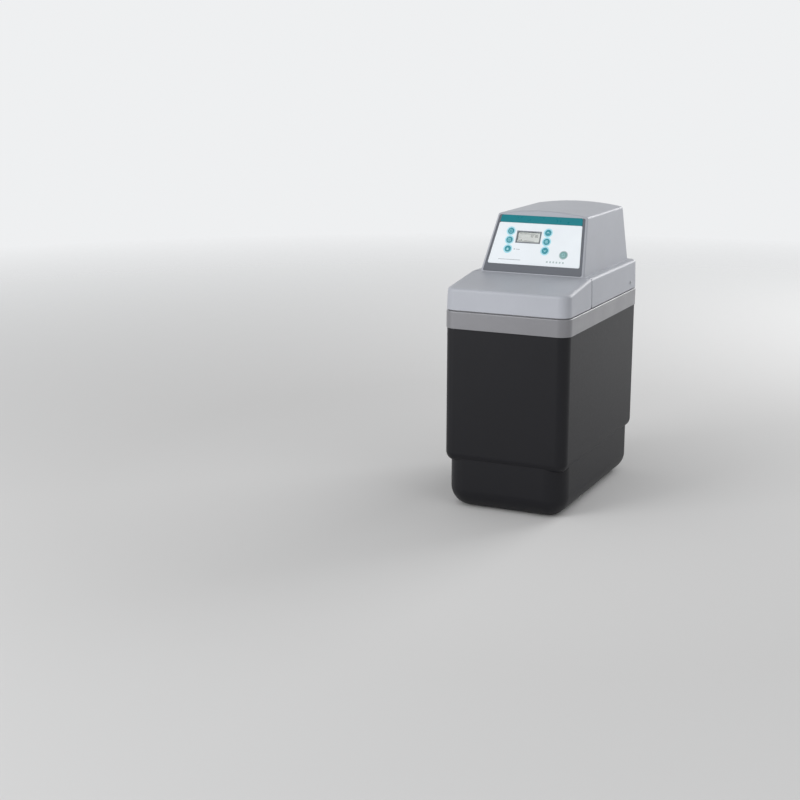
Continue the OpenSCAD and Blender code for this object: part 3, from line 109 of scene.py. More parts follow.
class Finish:
    """A Principled material with detail from nodes, measured in the object's own metres."""

    def __init__(self, name, **sockets):
        self.material = bpy.data.materials.new(name)
        self.material.use_nodes = True
        self.tree = self.material.node_tree
        self.shader = self.tree.nodes["Principled BSDF"]
        self.coords = self.add("ShaderNodeTexCoord").outputs["Object"]
        for socket, value in sockets.items():
            self.set(socket.replace("_", " ").title().replace("Ior", "IOR"), value)

    def set(self, socket, value):
        self.shader.inputs[socket].default_value = value

    def add(self, kind, links=(), **values):
        node = self.tree.nodes.new(kind)
        for name, value in values.items():
            if hasattr(node, name):
                setattr(node, name, value)
            else:
                node.inputs[name].default_value = value
        for socket, source in dict(links).items():
            self.tree.links.new(source, node.inputs[socket])
        return node

    def feed(self, socket, source):
        self.tree.links.new(source, self.shader.inputs[socket])

    def noise(self, size, detail=3.0, vector=None):
        """Noise whose features are about size metres across."""
        node = self.add("ShaderNodeTexNoise", {"Vector": vector or self.coords}, Scale=1/size, Detail=detail)
        return node.outputs["Fac"]

    def cells(self, size):
        """Voronoi cells about size metres across."""
        return self.add("ShaderNodeTexVoronoi", {"Vector": self.coords}, Scale=1/size).outputs

    def grey_of(self, colour):
        """One channel of a cell's random colour, the same all over the cell."""
        return self.add("ShaderNodeSeparateColor", {"Color": colour}).outputs[0]

    def math(self, operation, first, second):
        """A Math node of two values, each a socket or a number."""
        node = self.add("ShaderNodeMath", operation=operation)
        for index, value in enumerate((first, second)):
            if isinstance(value, (int, float)):
                node.inputs[index].default_value = value
            else:
                self.tree.links.new(value, node.inputs[index])
        return node.outputs[0]

    def spread(self, source, low, high, start=0.3, end=0.7):
        """Maps a pattern's middle range to the values between low and high."""
        node = self.add("ShaderNodeMapRange", {"Value": source})
        for socket, value in (("From Min", start), ("From Max", end), ("To Min", low), ("To Max", high)):
            node.inputs[socket].default_value = value
        return node.outputs["Result"]

    def blend(self, factor, first, second):
        """Mixes two colours, each a socket or four numbers."""
        node = self.add("ShaderNodeMix", {"Factor": factor}, data_type="RGBA")
        for index, value in ((6, first), (7, second)):
            if isinstance(value, tuple):
                node.inputs[index].default_value = value
            else:
                self.tree.links.new(value, node.inputs[index])
        return node.outputs[2]

    def relief(self, height, depth, strength=1.0, below=None):
        """Bump of a real depth in metres, laid over another normal."""
        links = {"Height": height}
        if below is not None:
            links["Normal"] = below
        return self.add("ShaderNodeBump", links, Distance=depth, Strength=strength).outputs["Normal"]

    def soft_edges(self, radius):
        """Normal that rounds the edges by a radius in metres."""
        return self.add("ShaderNodeBevel", samples=BEVEL_SAMPLES, Radius=radius).outputs["Normal"]

    def edge_mask(self, radius):
        """1 along sharp edges and 0 on faces."""
        rounded = self.soft_edges(radius)
        flat = self.add("ShaderNodeNewGeometry").outputs["Normal"]
        dot = self.add("ShaderNodeVectorMath", {0: rounded, 1: flat}, operation="DOT_PRODUCT")
        return self.spread(dot.outputs["Value"], 1.0, 0.0, 0.8, 0.99)


# Finishes

def moulded(name, colour, roughness, grain=0.5, depth=0.02, edge=0.4, edge_highlight=1.15, mottle=0.03, cloud=0.03,
            **sockets):
    """Moulded plastic: eroded mould grain, slight mottling, softly rounded edges with a patchy painted highlight
    along them.
    """
    finish = Finish(name, **sockets)
    broad = finish.noise(90*MM, 4.0)
    patch = finish.noise(5*MM, 5.0)
    tint = finish.blend(finish.spread(broad, 0, 1), shaded(colour, 1 - mottle), shaded(colour, 1 + mottle))
    # Painted highlight: the edges are lightened in patches, up to the colour times the edge factor.
    painted_edge_highlight = finish.math("MULTIPLY", finish.edge_mask(0.6*MM), finish.spread(patch, 0.1, 0.9))
    finish.feed("Base Color", finish.blend(painted_edge_highlight, tint, shaded(colour, edge_highlight)))
    finish.feed("Roughness", finish.spread(patch, roughness - cloud, roughness + cloud))
    normal = finish.relief(finish.noise(grain*MM, 2.0), depth*MM, 0.6, finish.soft_edges(edge*MM))
    finish.feed("Normal", normal)
    return finish.material


def metallic_paint(name, colour, roughness):
    """Satin paint with fine flakes."""
    finish = Finish(name, metallic=0.3, coat_weight=0.15, coat_roughness=0.25)
    flakes = finish.cells(0.35*MM)["Distance"]
    broad = finish.noise(60*MM, 3.0)
    tint = finish.blend(finish.spread(flakes, 0, 1, 0.1, 0.8), shaded(colour, 1.1), shaded(colour, 0.92))
    # Painted highlight: the edges are a quarter lighter than the paint.
    finish.feed("Base Color", finish.blend(finish.edge_mask(0.5*MM), tint, shaded(colour, 1.25)))
    finish.feed("Roughness", finish.spread(broad, roughness - 0.04, roughness + 0.05))
    finish.feed("Normal", finish.relief(finish.noise(0.8*MM, 2.0), 0.006*MM, 0.5, finish.soft_edges(0.4*MM)))
    return finish.material


def film(name, colour, roughness, mottle=0.02, **sockets):
    """Printed polyester film with a fine stipple."""
    finish = Finish(name, **sockets)
    broad = finish.noise(50*MM, 3.0)
    finish.feed("Base Color", finish.blend(finish.spread(broad, 0, 1), shaded(colour, 1 - mottle),
                                           shaded(colour, 1 + mottle)))
    finish.feed("Roughness", finish.spread(finish.noise(9*MM, 4.0), roughness - 0.04, roughness + 0.05))
    stipple = finish.cells(0.3*MM)["Distance"]
    finish.feed("Normal", finish.relief(stipple, 0.008*MM, 0.5, finish.soft_edges(0.25*MM)))
    return finish.material


def ink(name, colour, roughness=0.4):
    """Screen-printed ink: a little uneven, with pinholes in its gloss."""
    finish = Finish(name)
    specks = finish.noise(0.4*MM, 3.0)
    share = finish.spread(specks, 0, 1)
    finish.feed("Base Color", finish.blend(share, shaded(colour, 0.94), shaded(colour, 1.05)))
    finish.feed("Roughness", finish.spread(specks, roughness - 0.05, roughness + 0.08))
    finish.feed("Normal", finish.relief(specks, 0.004*MM, 0.5))
    return finish.material


def brushed(name, colour, roughness, along):
    """Metal with fine scratches along one axis."""
    finish = Finish(name, metallic=1.0)
    stretch = tuple(0.03 if axis == along else 1.0 for axis in "XYZ")
    mapping = finish.add("ShaderNodeMapping", {"Vector": finish.coords}, Scale=stretch)
    lines = finish.noise(0.25*MM, 4.0, mapping.outputs["Vector"])
    stain = finish.noise(12*MM, 4.0)
    tint = finish.blend(finish.spread(stain, 0, 1), shaded(colour, 0.88), shaded(colour, 1.08))
    # Painted highlight: the edges are a quarter lighter than the metal.
    finish.feed("Base Color", finish.blend(finish.edge_mask(0.3*MM), tint, shaded(colour, 1.25)))
    finish.feed("Roughness", finish.spread(lines, roughness - 0.08, roughness + 0.1))
    finish.feed("Normal", finish.relief(lines, 0.006*MM, 0.6, finish.soft_edges(0.2*MM)))
    return finish.material


def spangled(name, colour, roughness):
    """Zinc plating with faint crystal patches."""
    finish = Finish(name, metallic=0.9)
    shade = finish.grey_of(finish.cells(6*MM)["Color"])
    finish.feed("Base Color", finish.blend(shade, shaded(colour, 0.82), shaded(colour, 1.15)))
    finish.feed("Roughness", finish.spread(shade, roughness - 0.08, roughness + 0.08, 0.0, 1.0))
    finish.feed("Normal", finish.relief(finish.noise(0.6*MM), 0.01*MM, 0.4, finish.soft_edges(0.2*MM)))
    return finish.material


def clear(name, colour, roughness, **sockets):
    """Clear plastic with faint wipe marks."""
    finish = Finish(name, transmission_weight=1.0, ior=1.45, **sockets)
    wipes = finish.noise(25*MM, 5.0)
    share = finish.spread(wipes, 0, 1)
    finish.feed("Base Color", finish.blend(share, shaded(colour, 0.97), shaded(colour, 1.0)))
    finish.feed("Roughness", finish.spread(wipes, roughness, roughness + 0.05))
    return finish.material


def beads(name, colour):
    """Wet resin beads packed together."""
    finish = Finish(name, coat_weight=0.5, coat_roughness=0.1)
    bead = finish.cells(0.9*MM)
    shade = finish.grey_of(bead["Color"])
    finish.feed("Base Color", finish.blend(shade, shaded(colour, 0.65), shaded(colour, 1.3)))
    finish.feed("Roughness", finish.spread(shade, 0.25, 0.45, 0.0, 1.0))
    finish.feed("Normal", finish.relief(finish.math("SUBTRACT", 1.0, bead["Distance"]), 0.35*MM))
    return finish.material


ROVING_W = 5*MM
ROVING_LAY = 0.45


def wound(name, colour, node):
    """Filament winding: two crossing sets of helical rovings round the node's upright axis."""
    low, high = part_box(node)
    centre = (low + high)/2
    finish = Finish(name, coat_weight=0.4, coat_roughness=0.2)
    parts = finish.add("ShaderNodeSeparateXYZ", {"Vector": finish.coords}).outputs
    across = finish.math("SUBTRACT", parts["X"], centre.x)
    back = finish.math("SUBTRACT", parts["Y"], centre.y)
    turn = finish.math("MULTIPLY", finish.math("ARCTAN2", back, across), (high.x - low.x)/2)
    waves = []
    for lay in (ROVING_LAY, -ROVING_LAY):
        run = finish.math("ADD", parts["Z"], finish.math("MULTIPLY", turn, lay))
        waves.append(finish.math("SINE", finish.math("MULTIPLY", run, math.tau/ROVING_W), 0.0))
    weave = finish.math("MAXIMUM", *waves)
    fibre = finish.noise(1.2*MM, 4.0)
    strands = finish.spread(weave, 0.0, 0.7, -1.0, 1.0)
    pattern = finish.math("ADD", strands, finish.math("MULTIPLY", fibre, 0.3))
    finish.feed("Base Color", finish.blend(pattern, shaded(colour, 0.72), shaded(colour, 1.15)))
    finish.feed("Roughness", finish.spread(fibre, 0.35, 0.55))
    finish.feed("Normal", finish.relief(pattern, 0.25*MM, 0.6))
    return finish.material


def circuit(name, colour):
    """Solder mask over copper traces."""
    finish = Finish(name, coat_weight=0.3, coat_roughness=0.15)
    lanes = finish.add("ShaderNodeTexBrick", {"Vector": finish.coords}, Scale=1.0)
    for socket, value in (("Brick Width", 7*MM), ("Row Height", 1.6*MM), ("Mortar Size", 0.2*MM)):
        lanes.inputs[socket].default_value = value
    weave = finish.noise(0.5*MM)
    base = finish.blend(finish.spread(weave, 0, 1), shaded(colour, 0.85), shaded(colour, 1.1))
    finish.feed("Base Color", finish.blend(lanes.outputs["Fac"], base, shaded(colour, 1.9)))
    finish.feed("Roughness", finish.spread(weave, 0.3, 0.42))
    finish.feed("Normal", finish.relief(lanes.outputs["Fac"], 0.03*MM, 0.6, finish.soft_edges(0.15*MM)))
    return finish.material


FINISHES = {
    "anthracite_shell": moulded("anthracite_shell", linear(26, 26, 30), 0.45, grain=0.7, depth=0.03, edge_highlight=1.5,
                                cloud=0.015, specular_ior_level=0.22),
    "grey_band": metallic_paint("grey_band", linear(134, 134, 138), 0.34),
    "pale_cover": moulded("pale_cover", linear(176, 179, 187), 0.4, grain=0.5, depth=0.012),
    "grey_bezel": moulded("grey_bezel", linear(94, 98, 106), 0.42, grain=0.4, depth=0.01),
    "white_fascia": film("white_fascia", linear(242, 248, 253), 0.32),
    "teal_strip": film("teal_strip", linear(12, 127, 138), 0.3, 0.04, specular_ior_level=0.3),
    "dark_trim": moulded("dark_trim", linear(122, 128, 134), 0.4, grain=0.3, depth=0.006, edge=0.15),
    "clear_window": clear("clear_window", linear(248, 250, 250), 0.03),
    "display_glass": film("display_glass", linear(248, 248, 244), 0.3, 0.01),
    "teal_key": moulded("teal_key", linear(42, 146, 162), 0.45, grain=0.35, depth=0.008, edge=0.6,
                        edge_highlight=1.1),
    "green_key": moulded("green_key", linear(124, 166, 165), 0.45, grain=0.35, depth=0.008, edge=0.6,
                         edge_highlight=1.1),
    "circuit_board": circuit("circuit_board", linear(36, 104, 66)),
    "black_plastic": moulded("black_plastic", linear(24, 24, 26), 0.45, grain=0.4, depth=0.01, edge_highlight=1.6),
    "steel": brushed("steel", linear(190, 192, 195), 0.3, "X"),
    "tank_wrap": wound("tank_wrap", linear(206, 184, 142), "resin_tank"),
    "resin_beads": beads("resin_beads", linear(186, 128, 50)),
    "white_plastic": moulded("white_plastic", linear(228, 228, 223), 0.42, grain=0.5, depth=0.01, edge_highlight=1.03,
                             subsurface_weight=0.05),
    "valve_black": moulded("valve_black", linear(38, 39, 42), 0.5, grain=0.45, depth=0.03, edge_highlight=1.7,
                           mottle=0.1),
    "seal_rubber": moulded("seal_rubber", linear(26, 26, 27), 0.7, grain=0.3, depth=0.01, edge_highlight=1.4),
    "ceramic": moulded("ceramic", linear(232, 229, 220), 0.16, grain=0.2, depth=0.002, edge_highlight=1.02),
    "grey_plastic": moulded("grey_plastic", linear(58, 60, 65), 0.46, grain=0.45, depth=0.02, edge_highlight=1.5,
                            mottle=0.08),
    "plated_sheet": spangled("plated_sheet", linear(150, 153, 158), 0.36),
    "motor_case": brushed("motor_case", linear(186, 188, 192), 0.32, "Z"),
    "brass_gear": brushed("brass_gear", linear(214, 180, 104), 0.28, "Z"),
    "nylon_gear": moulded("nylon_gear", linear(226, 223, 210), 0.38, grain=0.4, depth=0.006, edge_highlight=1.03,
                          subsurface_weight=0.1),
    "red_plastic": moulded("red_plastic", linear(166, 34, 38), 0.4, grain=0.45, depth=0.012, edge_highlight=1.3),
    "float_foam": moulded("float_foam", linear(212, 144, 70), 0.75, grain=1.2, depth=0.15, edge_highlight=1.1,
                          mottle=0.08),
    "clear_tube": moulded("clear_tube", linear(226, 232, 234), 0.25, grain=2.0, depth=0.004, edge_highlight=1.02,
                          transmission_weight=0.35, ior=1.4),
    "icon_print": ink("icon_print", linear(176, 228, 235)),
    "halo_print": ink("halo_print", linear(168, 230, 244), 0.34),
    "panel_ink": ink("panel_ink", linear(140, 146, 152)),
    "tint_print": ink("tint_print", linear(186, 202, 203), 0.36),
    "display_ink": ink("display_ink", linear(112, 112, 108), 0.35),
}


# Smoothing of the solids' facets

CREASE = math.radians(24)
MERGE = 0.002*MM


def smoothing_group():
    """Joins the facets' corners, smooths the faces and keeps edges sharper than the crease angle."""
    group = bpy.data.node_groups.new("smooth_facets", "GeometryNodeTree")
    for way in ("INPUT", "OUTPUT"):
        group.interface.new_socket("Geometry", in_out=way, socket_type="NodeSocketGeometry")
    add = group.nodes.new
    start = add("NodeGroupInput")
    end = add("NodeGroupOutput")
    bare = add("GeometryNodeRemoveAttribute")
    bare.inputs["Name"].default_value = "custom_normal"
    merge = add("GeometryNodeMergeByDistance")
    merge.inputs["Distance"].default_value = MERGE
    soft = add("GeometryNodeSetShadeSmooth")
    sharp = add("GeometryNodeSetShadeSmooth")
    sharp.domain = "EDGE"
    sharp.inputs["Shade Smooth"].default_value = False
    angle = add("GeometryNodeInputMeshEdgeAngle")
    above = add("FunctionNodeCompare")
    above.operation = "GREATER_THAN"
    above.inputs["B"].default_value = CREASE
    link = group.links.new
    link(start.outputs[0], bare.inputs["Geometry"])
    link(bare.outputs["Geometry"], merge.inputs["Geometry"])
    link(merge.outputs["Geometry"], soft.inputs["Geometry"])
    link(soft.outputs["Geometry"], sharp.inputs["Geometry"])
    link(angle.outputs["Unsigned Angle"], above.inputs["A"])
    link(above.outputs["Result"], sharp.inputs["Selection"])
    link(sharp.outputs["Geometry"], end.inputs[0])
    return group


def smooth(piece, group):
    piece.modifiers.new("smooth_facets", "NODES").node_group = group
    weighted = piece.modifiers.new("weighted_normals", "WEIGHTED_NORMAL")
    weighted.keep_sharp = True


def dress_solids():
    group = smoothing_group()
    for name, solid in frame["nodes"].items():
        solid.data.materials.clear()
        solid.data.materials.append(FINISHES[SLOT_OF[name]])
        smooth(solid, group)


# Thin printed or moulded pieces: a grid of flat points, placed in space and given a thickness

def slab(mesh, grid, place, thickness, closed=False):
    """Adds a closed thin solid over a grid of flat points; place(u, v, h) gives the point in space."""
    tops = [[mesh.verts.new(place(u, v, thickness)) for u, v in row] for row in grid]
    feet = [[mesh.verts.new(place(u, v, 0.0)) for u, v in row] for row in grid]
    rows = len(grid)
    columns = len(grid[0])
    steps = rows if closed else rows - 1
    for i in range(steps):
        k = (i + 1) % rows
        for j in range(columns - 1):
            mesh.faces.new((tops[i][j], tops[i][j + 1], tops[k][j + 1], tops[k][j]))
            mesh.faces.new((feet[k][j], feet[k][j + 1], feet[i][j + 1], feet[i][j]))
        for j in (0, columns - 1):
            wall = (tops[i][j], tops[k][j], feet[k][j], feet[i][j])
            mesh.faces.new(wall if j == 0 else wall[::-1])
    if not closed:
        for i in (0, rows - 1):
            for j in range(columns - 1):
                wall = (tops[i][j + 1], tops[i][j], feet[i][j], feet[i][j + 1])
                mesh.faces.new(wall if i == 0 else wall[::-1])


def ring(radius, width, start=0.0, turn=360.0, steps=48):
    """Grid of a flat ring or arc; angles in degrees from the right, anticlockwise."""
    count = steps if turn == 360.0 else steps + 1
    angles = [math.radians(start + turn*i/steps) for i in range(count)]
    radii = (radius - width/2, radius + width/2)
    return [[(r*math.cos(a), r*math.sin(a)) for r in radii] for a in angles]


def bar(start, end, width, steps=4):
    """Grid of a straight bar between two points."""
    along = Vector(end) - Vector(start)
    side = Vector((-along.y, along.x)).normalized()*width/2
    points = [Vector(start) + along*i/steps for i in range(steps + 1)]
    return [[tuple(point - side), tuple(point + side)] for point in points]


PINHOLE_R = 0.02*MM


def disc(radius, steps):
    """Grid of a small disc, as a ring round a pinhole."""
    return ring((radius + PINHOLE_R)/2, radius - PINHOLE_R, steps=steps)


BLUNT_TIP = 0.02


def wedge(tip, base, width, steps=6):
    """Grid of an arrow head from the middle of its base to its tip."""
    along = Vector(tip) - Vector(base)
    side = Vector((-along.y, along.x)).normalized()*width/2
    rows = []
    for i in range(steps + 1):
        share = i/steps
        half = side*max(BLUNT_TIP, 1 - share)
        point = Vector(base) + along*share
        rows.append([tuple(point - half), tuple(point + half)])
    return rows


def piece_of(name, parts, place, thickness, slot, body):
    """One object made of thin solids; parts holds pairs of a grid and whether it closes on itself."""
    mesh = bmesh.new()
    for grid, closed in parts:
        slab(mesh, grid, place, thickness, closed)
    object_of(name, mesh, slot, body)


def object_of(name, mesh, slot, body):
    """Turns a mesh into a piece that rides on a body and takes a slot's finish."""
    bmesh.ops.recalc_face_normals(mesh, faces=mesh.faces)
    data = bpy.data.meshes.new(name)
    mesh.to_mesh(data)
    mesh.free()
    piece = bpy.data.objects.new(name, data)
    data.materials.append(FINISHES[slot])
    scene.collection.objects.link(piece)
    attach(piece, body)


def shifted(grid, by):
    return [[(u + by[0], v + by[1]) for u, v in row] for row in grid]


# Panel frame: across is X, up the slope, and out of the fascia

ACROSS = Vector((1, 0, 0))
OUT = -Vector(JOINTS["key_clock_press"]["axis"]).normalized()
UP_SLOPE = OUT.cross(ACROSS)


def span(node, axis):
    """Lowest and highest reach of a node along an axis."""
    reach = [vertex.co.dot(axis) for vertex in frame["nodes"][node].data.vertices]
    return min(reach), max(reach)


def middle(node, axis):
    return sum(span(node, axis))/2


FASCIA_FACE = span("fascia", OUT)[1]
HALO_KEYS = ("key_clock", "key_days", "key_lock", "key_up", "key_set", "key_down")
LARGE_KEY = "key_regenerate"
PRINT_T = 0.05*MM


def on_panel(p, q, out):
    return ACROSS*p + UP_SLOPE*q + OUT*out


def panel_place(p, q, face):
    """Place function for flat points round a spot on the panel."""
    return lambda u, v, h: on_panel(p + u, q + v, face + h)


# Key icons, which follow the domes of the caps

DOME_R = 30*MM
ICON_SHARE = 0.62
PRINT_SINK = PRINT_T/4


def dome_place(node):
    p = middle(node, ACROSS)
    q = middle(node, UP_SLOPE)
    crown = span(node, OUT)[1]

    def place(u, v, h):
        drop = DOME_R - math.sqrt(DOME_R**2 - u*u - v*v)
        return on_panel(p + u, q + v, crown - drop + h - PRINT_SINK)
    return place


def clock_icon(size):
    line = 0.16*size
    return [(ring(0.8*size, line), True), (bar((0, 0), (0, 0.5*size), line), False),
            (bar((0, 0), (0.4*size, -0.2*size), line), False)]


def days_icon(size):
    line = 0.15*size
    half = 0.68*size
    frame_bars = [((-half, -half), (half, -half)), ((-half, half), (half, half)),
                  ((-half, -half + line/2), (-half, half - line/2)),
                  ((half, -half + line/2), (half, half - line/2))]
    parts = [(bar(a, b, line if a[0] == b[0] else 1.2*line), False) for a, b in frame_bars]
    for u in (-0.28, 0.0, 0.28):
        parts.append((shifted(disc(0.1*size, 16), (u*size, -0.12*size)), True))
    parts.append((bar((-0.4*size, 0.3*size), (0.4*size, 0.3*size), line), False))
    return parts


def lock_icon(size):
    line = 0.16*size
    return [(bar((-0.5*size, -0.3*size), (0.5*size, -0.3*size), 0.75*size), False),
            (shifted(ring(0.36*size, line, 0.0, 180.0, 24), (0, 0.12*size)), False)]


def chevron_icon(size, way):
    line = 0.26*size
    tip = (0, 0.42*size*way)
    return [(bar((-0.62*size, -0.3*size*way), (line*0.1, tip[1]), line), False),
            (bar((0.62*size, -0.3*size*way), (-line*0.1, tip[1]), line), False)]


def set_icon(size):
    return [(ring(0.68*size, 0.2*size), True), (disc(0.26*size, 24), True)]


def cycle_icon(size):
    line = 0.16*size
    parts = []
    for start in (20.0, 200.0):
        parts.append((ring(0.7*size, line, start, 125.0, 24), False))
        end = math.radians(start + 122.0)
        base = (0.7*size*math.cos(end), 0.7*size*math.sin(end))
        ahead = (base[0] - 0.42*size*math.sin(end), base[1] + 0.42*size*math.cos(end))
        parts.append((wedge(ahead, base, 0.5*size), False))
    return parts


ICONS = {
    "key_clock": clock_icon, "key_days": days_icon, "key_lock": lock_icon,
    "key_up": lambda size: chevron_icon(size, 1), "key_set": set_icon,
    "key_down": lambda size: chevron_icon(size, -1), "key_regenerate": cycle_icon,
}


CLEAR_OF_FASCIA = 0.1*MM


def cap_radius(node):
    """Radius of a key's cap, read where it stands out of the fascia."""
    p = middle(node, ACROSS)
    q = middle(node, UP_SLOPE)
    face = FASCIA_FACE + CLEAR_OF_FASCIA
    reach = 0.0
    for vertex in frame["nodes"][node].data.vertices:
        if vertex.co.dot(OUT) > face:
            reach = max(reach, math.hypot(vertex.co.dot(ACROSS) - p, vertex.co.dot(UP_SLOPE) - q))
    return reach


def make_icons():
    for node in (*HALO_KEYS, LARGE_KEY):
        parts = ICONS[node](ICON_SHARE*cap_radius(node))
        name = node.replace("key_", "icon_")
        piece_of(name, parts, dome_place(node), PRINT_T, "icon_print", node + "_cap")


# Print on the fascia

HALO_GAP = 0.35*MM
HALO_W = 2.1*MM
RULE = {"start": -15*MM, "end": 29*MM, "rise": 8.9*MM, "width": 0.8*MM}
NOTE = {"start": 16*MM, "end": 24*MM, "width": 0.9*MM, "dot": 13*MM, "dot_r": 1.1*MM}
DOTS = {"count": 6, "start": 8*MM, "pitch": 6.2*MM, "rise": 8.5*MM, "radius": 1.9*MM}
LARGE_RING_OUT = 1.6*MM
LARGE_RING_W = 1.4*MM


def make_panel_print():
    halos = []
    place = panel_place(0.0, 0.0, FASCIA_FACE)
    for node in HALO_KEYS:
        spot = (middle(node, ACROSS), middle(node, UP_SLOPE))
        radius = cap_radius(node) + HALO_GAP + HALO_W/2
        halos.append((shifted(ring(radius, HALO_W), spot), True))
    piece_of("key_halos", halos, place, PRINT_T, "halo_print", ROOT)

    left, right = (middle(node, ACROSS) for node in ("key_lock", "key_down"))
    low = span("fascia", UP_SLOPE)[0]
    rule_q = low + RULE["rise"]
    row_q = middle("key_lock", UP_SLOPE)
    marks = [(bar((left + RULE["start"], rule_q), (left + RULE["end"], rule_q), RULE["width"]), False),
             (shifted(disc(NOTE["dot_r"], 24), (left + NOTE["dot"], row_q)), True),
             (bar((left + NOTE["start"], row_q), (left + NOTE["end"], row_q), NOTE["width"]), False)]
    piece_of("panel_marks", marks, place, PRINT_T, "panel_ink", ROOT)

    spot = (middle(LARGE_KEY, ACROSS), middle(LARGE_KEY, UP_SLOPE))
    radius = cap_radius(LARGE_KEY) + LARGE_RING_OUT
    tint = [(shifted(ring(radius, LARGE_RING_W, steps=64), spot), True)]
    for i in range(DOTS["count"]):
        dot_spot = (right + DOTS["start"] + DOTS["pitch"]*i, low + DOTS["rise"])
        tint.append((shifted(disc(DOTS["radius"], 28), dot_spot), True))
    piece_of("panel_tint", tint, place, PRINT_T, "tint_print", ROOT)


# Display

SEGMENTS = {
    "0": "abcdef", "1": "bc", "2": "abged", "3": "abgcd", "4": "fgbc", "5": "afgcd",
    "6": "afgedc", "7": "abc", "8": "abcdefg", "9": "abcfgd",
}


def digit(character, height):
    """Seven-segment digit with its lower left corner at the origin."""
    width = 0.5*height
    line = 0.13*height
    gap = 0.3*line
    half = height/2
    ends = {
        "a": ((gap, height), (width - gap, height)), "g": ((gap, half), (width - gap, half)),
        "d": ((gap, 0), (width - gap, 0)), "f": ((0, half + gap), (0, height - gap)),
        "b": ((width, half + gap), (width, height - gap)), "e": ((0, gap), (0, half - gap)),
        "c": ((width, gap), (width, half - gap)),
    }
    return [(bar(*ends[name], line, 1), False) for name in SEGMENTS[character]]


def row_of_digits(text, height, start):
    """Digits side by side; a colon is two dots."""
    parts = []
    u, v = start
    for character in text:
        if character == ":":
            for share in (0.28, 0.72):
                parts.append((shifted(disc(0.08*height, 12), (u + 0.12*height, v + share*height)), True))
            u += 0.42*height
        else:
            parts += [(shifted(grid, (u, v)), closed) for grid, closed in digit(character, height)]
            u += 0.78*height
    return parts


TIME_SHOWN = "12:30"
TIME_H = 4.6*MM
TIME_PLACE = (19*MM, 0.6*MM)
LEVEL_BARS = {"count": 4, "start": 2.2*MM, "pitch": 1.9*MM, "foot": -7.4*MM, "width": 1.2*MM, "rise": 0.5*MM}
DISPLAY_LINES = ((11*MM, 9*MM, -7.2*MM), (2*MM, 10*MM, 6.6*MM))
DISPLAY_LINE_W = 0.5*MM


def make_display():
    """A time at the upper right, level bars at the lower left and two thin lines."""
    node = "display_module"
    p = middle(node, ACROSS)
    q = middle(node, UP_SLOPE)
    low_p, high_p = span(node, ACROSS)
    half_w = (high_p - low_p)/2
    parts = row_of_digits(TIME_SHOWN, TIME_H, (half_w - TIME_PLACE[0], TIME_PLACE[1]))
    width = LEVEL_BARS["width"]
    foot = LEVEL_BARS["foot"]
    for i in range(LEVEL_BARS["count"]):
        u = LEVEL_BARS["start"] + LEVEL_BARS["pitch"]*i - half_w
        parts.append((bar((u, foot), (u, foot + width + LEVEL_BARS["rise"]*i), width, 1), False))
    for left_gap, right_gap, v in DISPLAY_LINES:
        parts.append((bar((left_gap - half_w, v), (half_w - right_gap, v), DISPLAY_LINE_W, 1), False))
    face = span(node, OUT)[1]
    piece_of("display_digits", parts, panel_place(p, q, face), PRINT_T, "display_ink", ROOT)


# Barbs on the hose tails and threads on the pipes, behind the cabinet

RIM_DEPTH = 0.01*MM
SINK = 0.15*MM
BARBS = 3
BARB_H = 0.9*MM
BARB_PITCH = 4.6*MM
BARB_FROM_END = 1.5*MM
BARB_L = 3.5*MM
BARB_TOE = 0.1*MM
BARB_BREAK = 0.3*MM
BARB_STEPS = 64
THREAD_H = 0.9*MM
THREAD_PITCH = 1.8*MM
THREAD_RUN = 15*MM
THREAD_FROM_END = 1.4*MM
THREAD_FOOT = 0.44*THREAD_PITCH
THREAD_CREST = 0.2*THREAD_FOOT
THREAD_STEPS = 48


def rear_end(node, side=0):
    """Middle and radius of a tube's rear end; side picks the tube on one side of the middle."""
    points = [vertex.co for vertex in frame["nodes"][node].data.vertices if vertex.co.x*side >= 0]
    end = max(point.y for point in points)
    rim = [point for point in points if point.y > end - RIM_DEPTH]
    low_x = min(point.x for point in rim)
    high_x = max(point.x for point in rim)
    low_z = min(point.z for point in rim)
    high_z = max(point.z for point in rim)
    return Vector(((low_x + high_x)/2, end, (low_z + high_z)/2)), (high_x - low_x)/2


def swept(mesh, sections, closed):
    """Joins rows of points, each a closed section, into a solid; an open sweep gets end faces."""
    rows = [[mesh.verts.new(point) for point in section] for section in sections]
    count = len(rows[0])
    steps = len(rows) if closed else len(rows) - 1
    for i in range(steps):
        ahead = rows[(i + 1) % len(rows)]
        for j in range(count):
            k = (j + 1) % count
            mesh.faces.new((rows[i][j], rows[i][k], ahead[k], ahead[j]))
    if not closed:
        mesh.faces.new(rows[0])
        mesh.faces.new(rows[-1][::-1])


def round_section(centre, angle, profile):
    """Points of a profile of radius and place along Y, turned about the tube's axis."""
    return [Vector((centre.x + r*math.cos(angle), y, centre.z + r*math.sin(angle))) for r, y in profile]


def make_barbs(node):
    end, radius = rear_end(node)
    angles = [math.tau*k/BARB_STEPS for k in range(BARB_STEPS)]
    foot = radius - SINK
    crest = radius + BARB_H
    mesh = bmesh.new()
    for i in range(BARBS):
        rear = end.y - BARB_FROM_END - BARB_PITCH*i
        front = rear - BARB_L
        profile = [(foot, rear), (radius + BARB_TOE, rear), (crest, front + BARB_BREAK),
                   (crest - BARB_BREAK, front), (foot, front)]
        swept(mesh, [round_section(end, angle, profile) for angle in angles], True)
    object_of(node + "_barbs", mesh, SLOT_OF[node], ROOT)


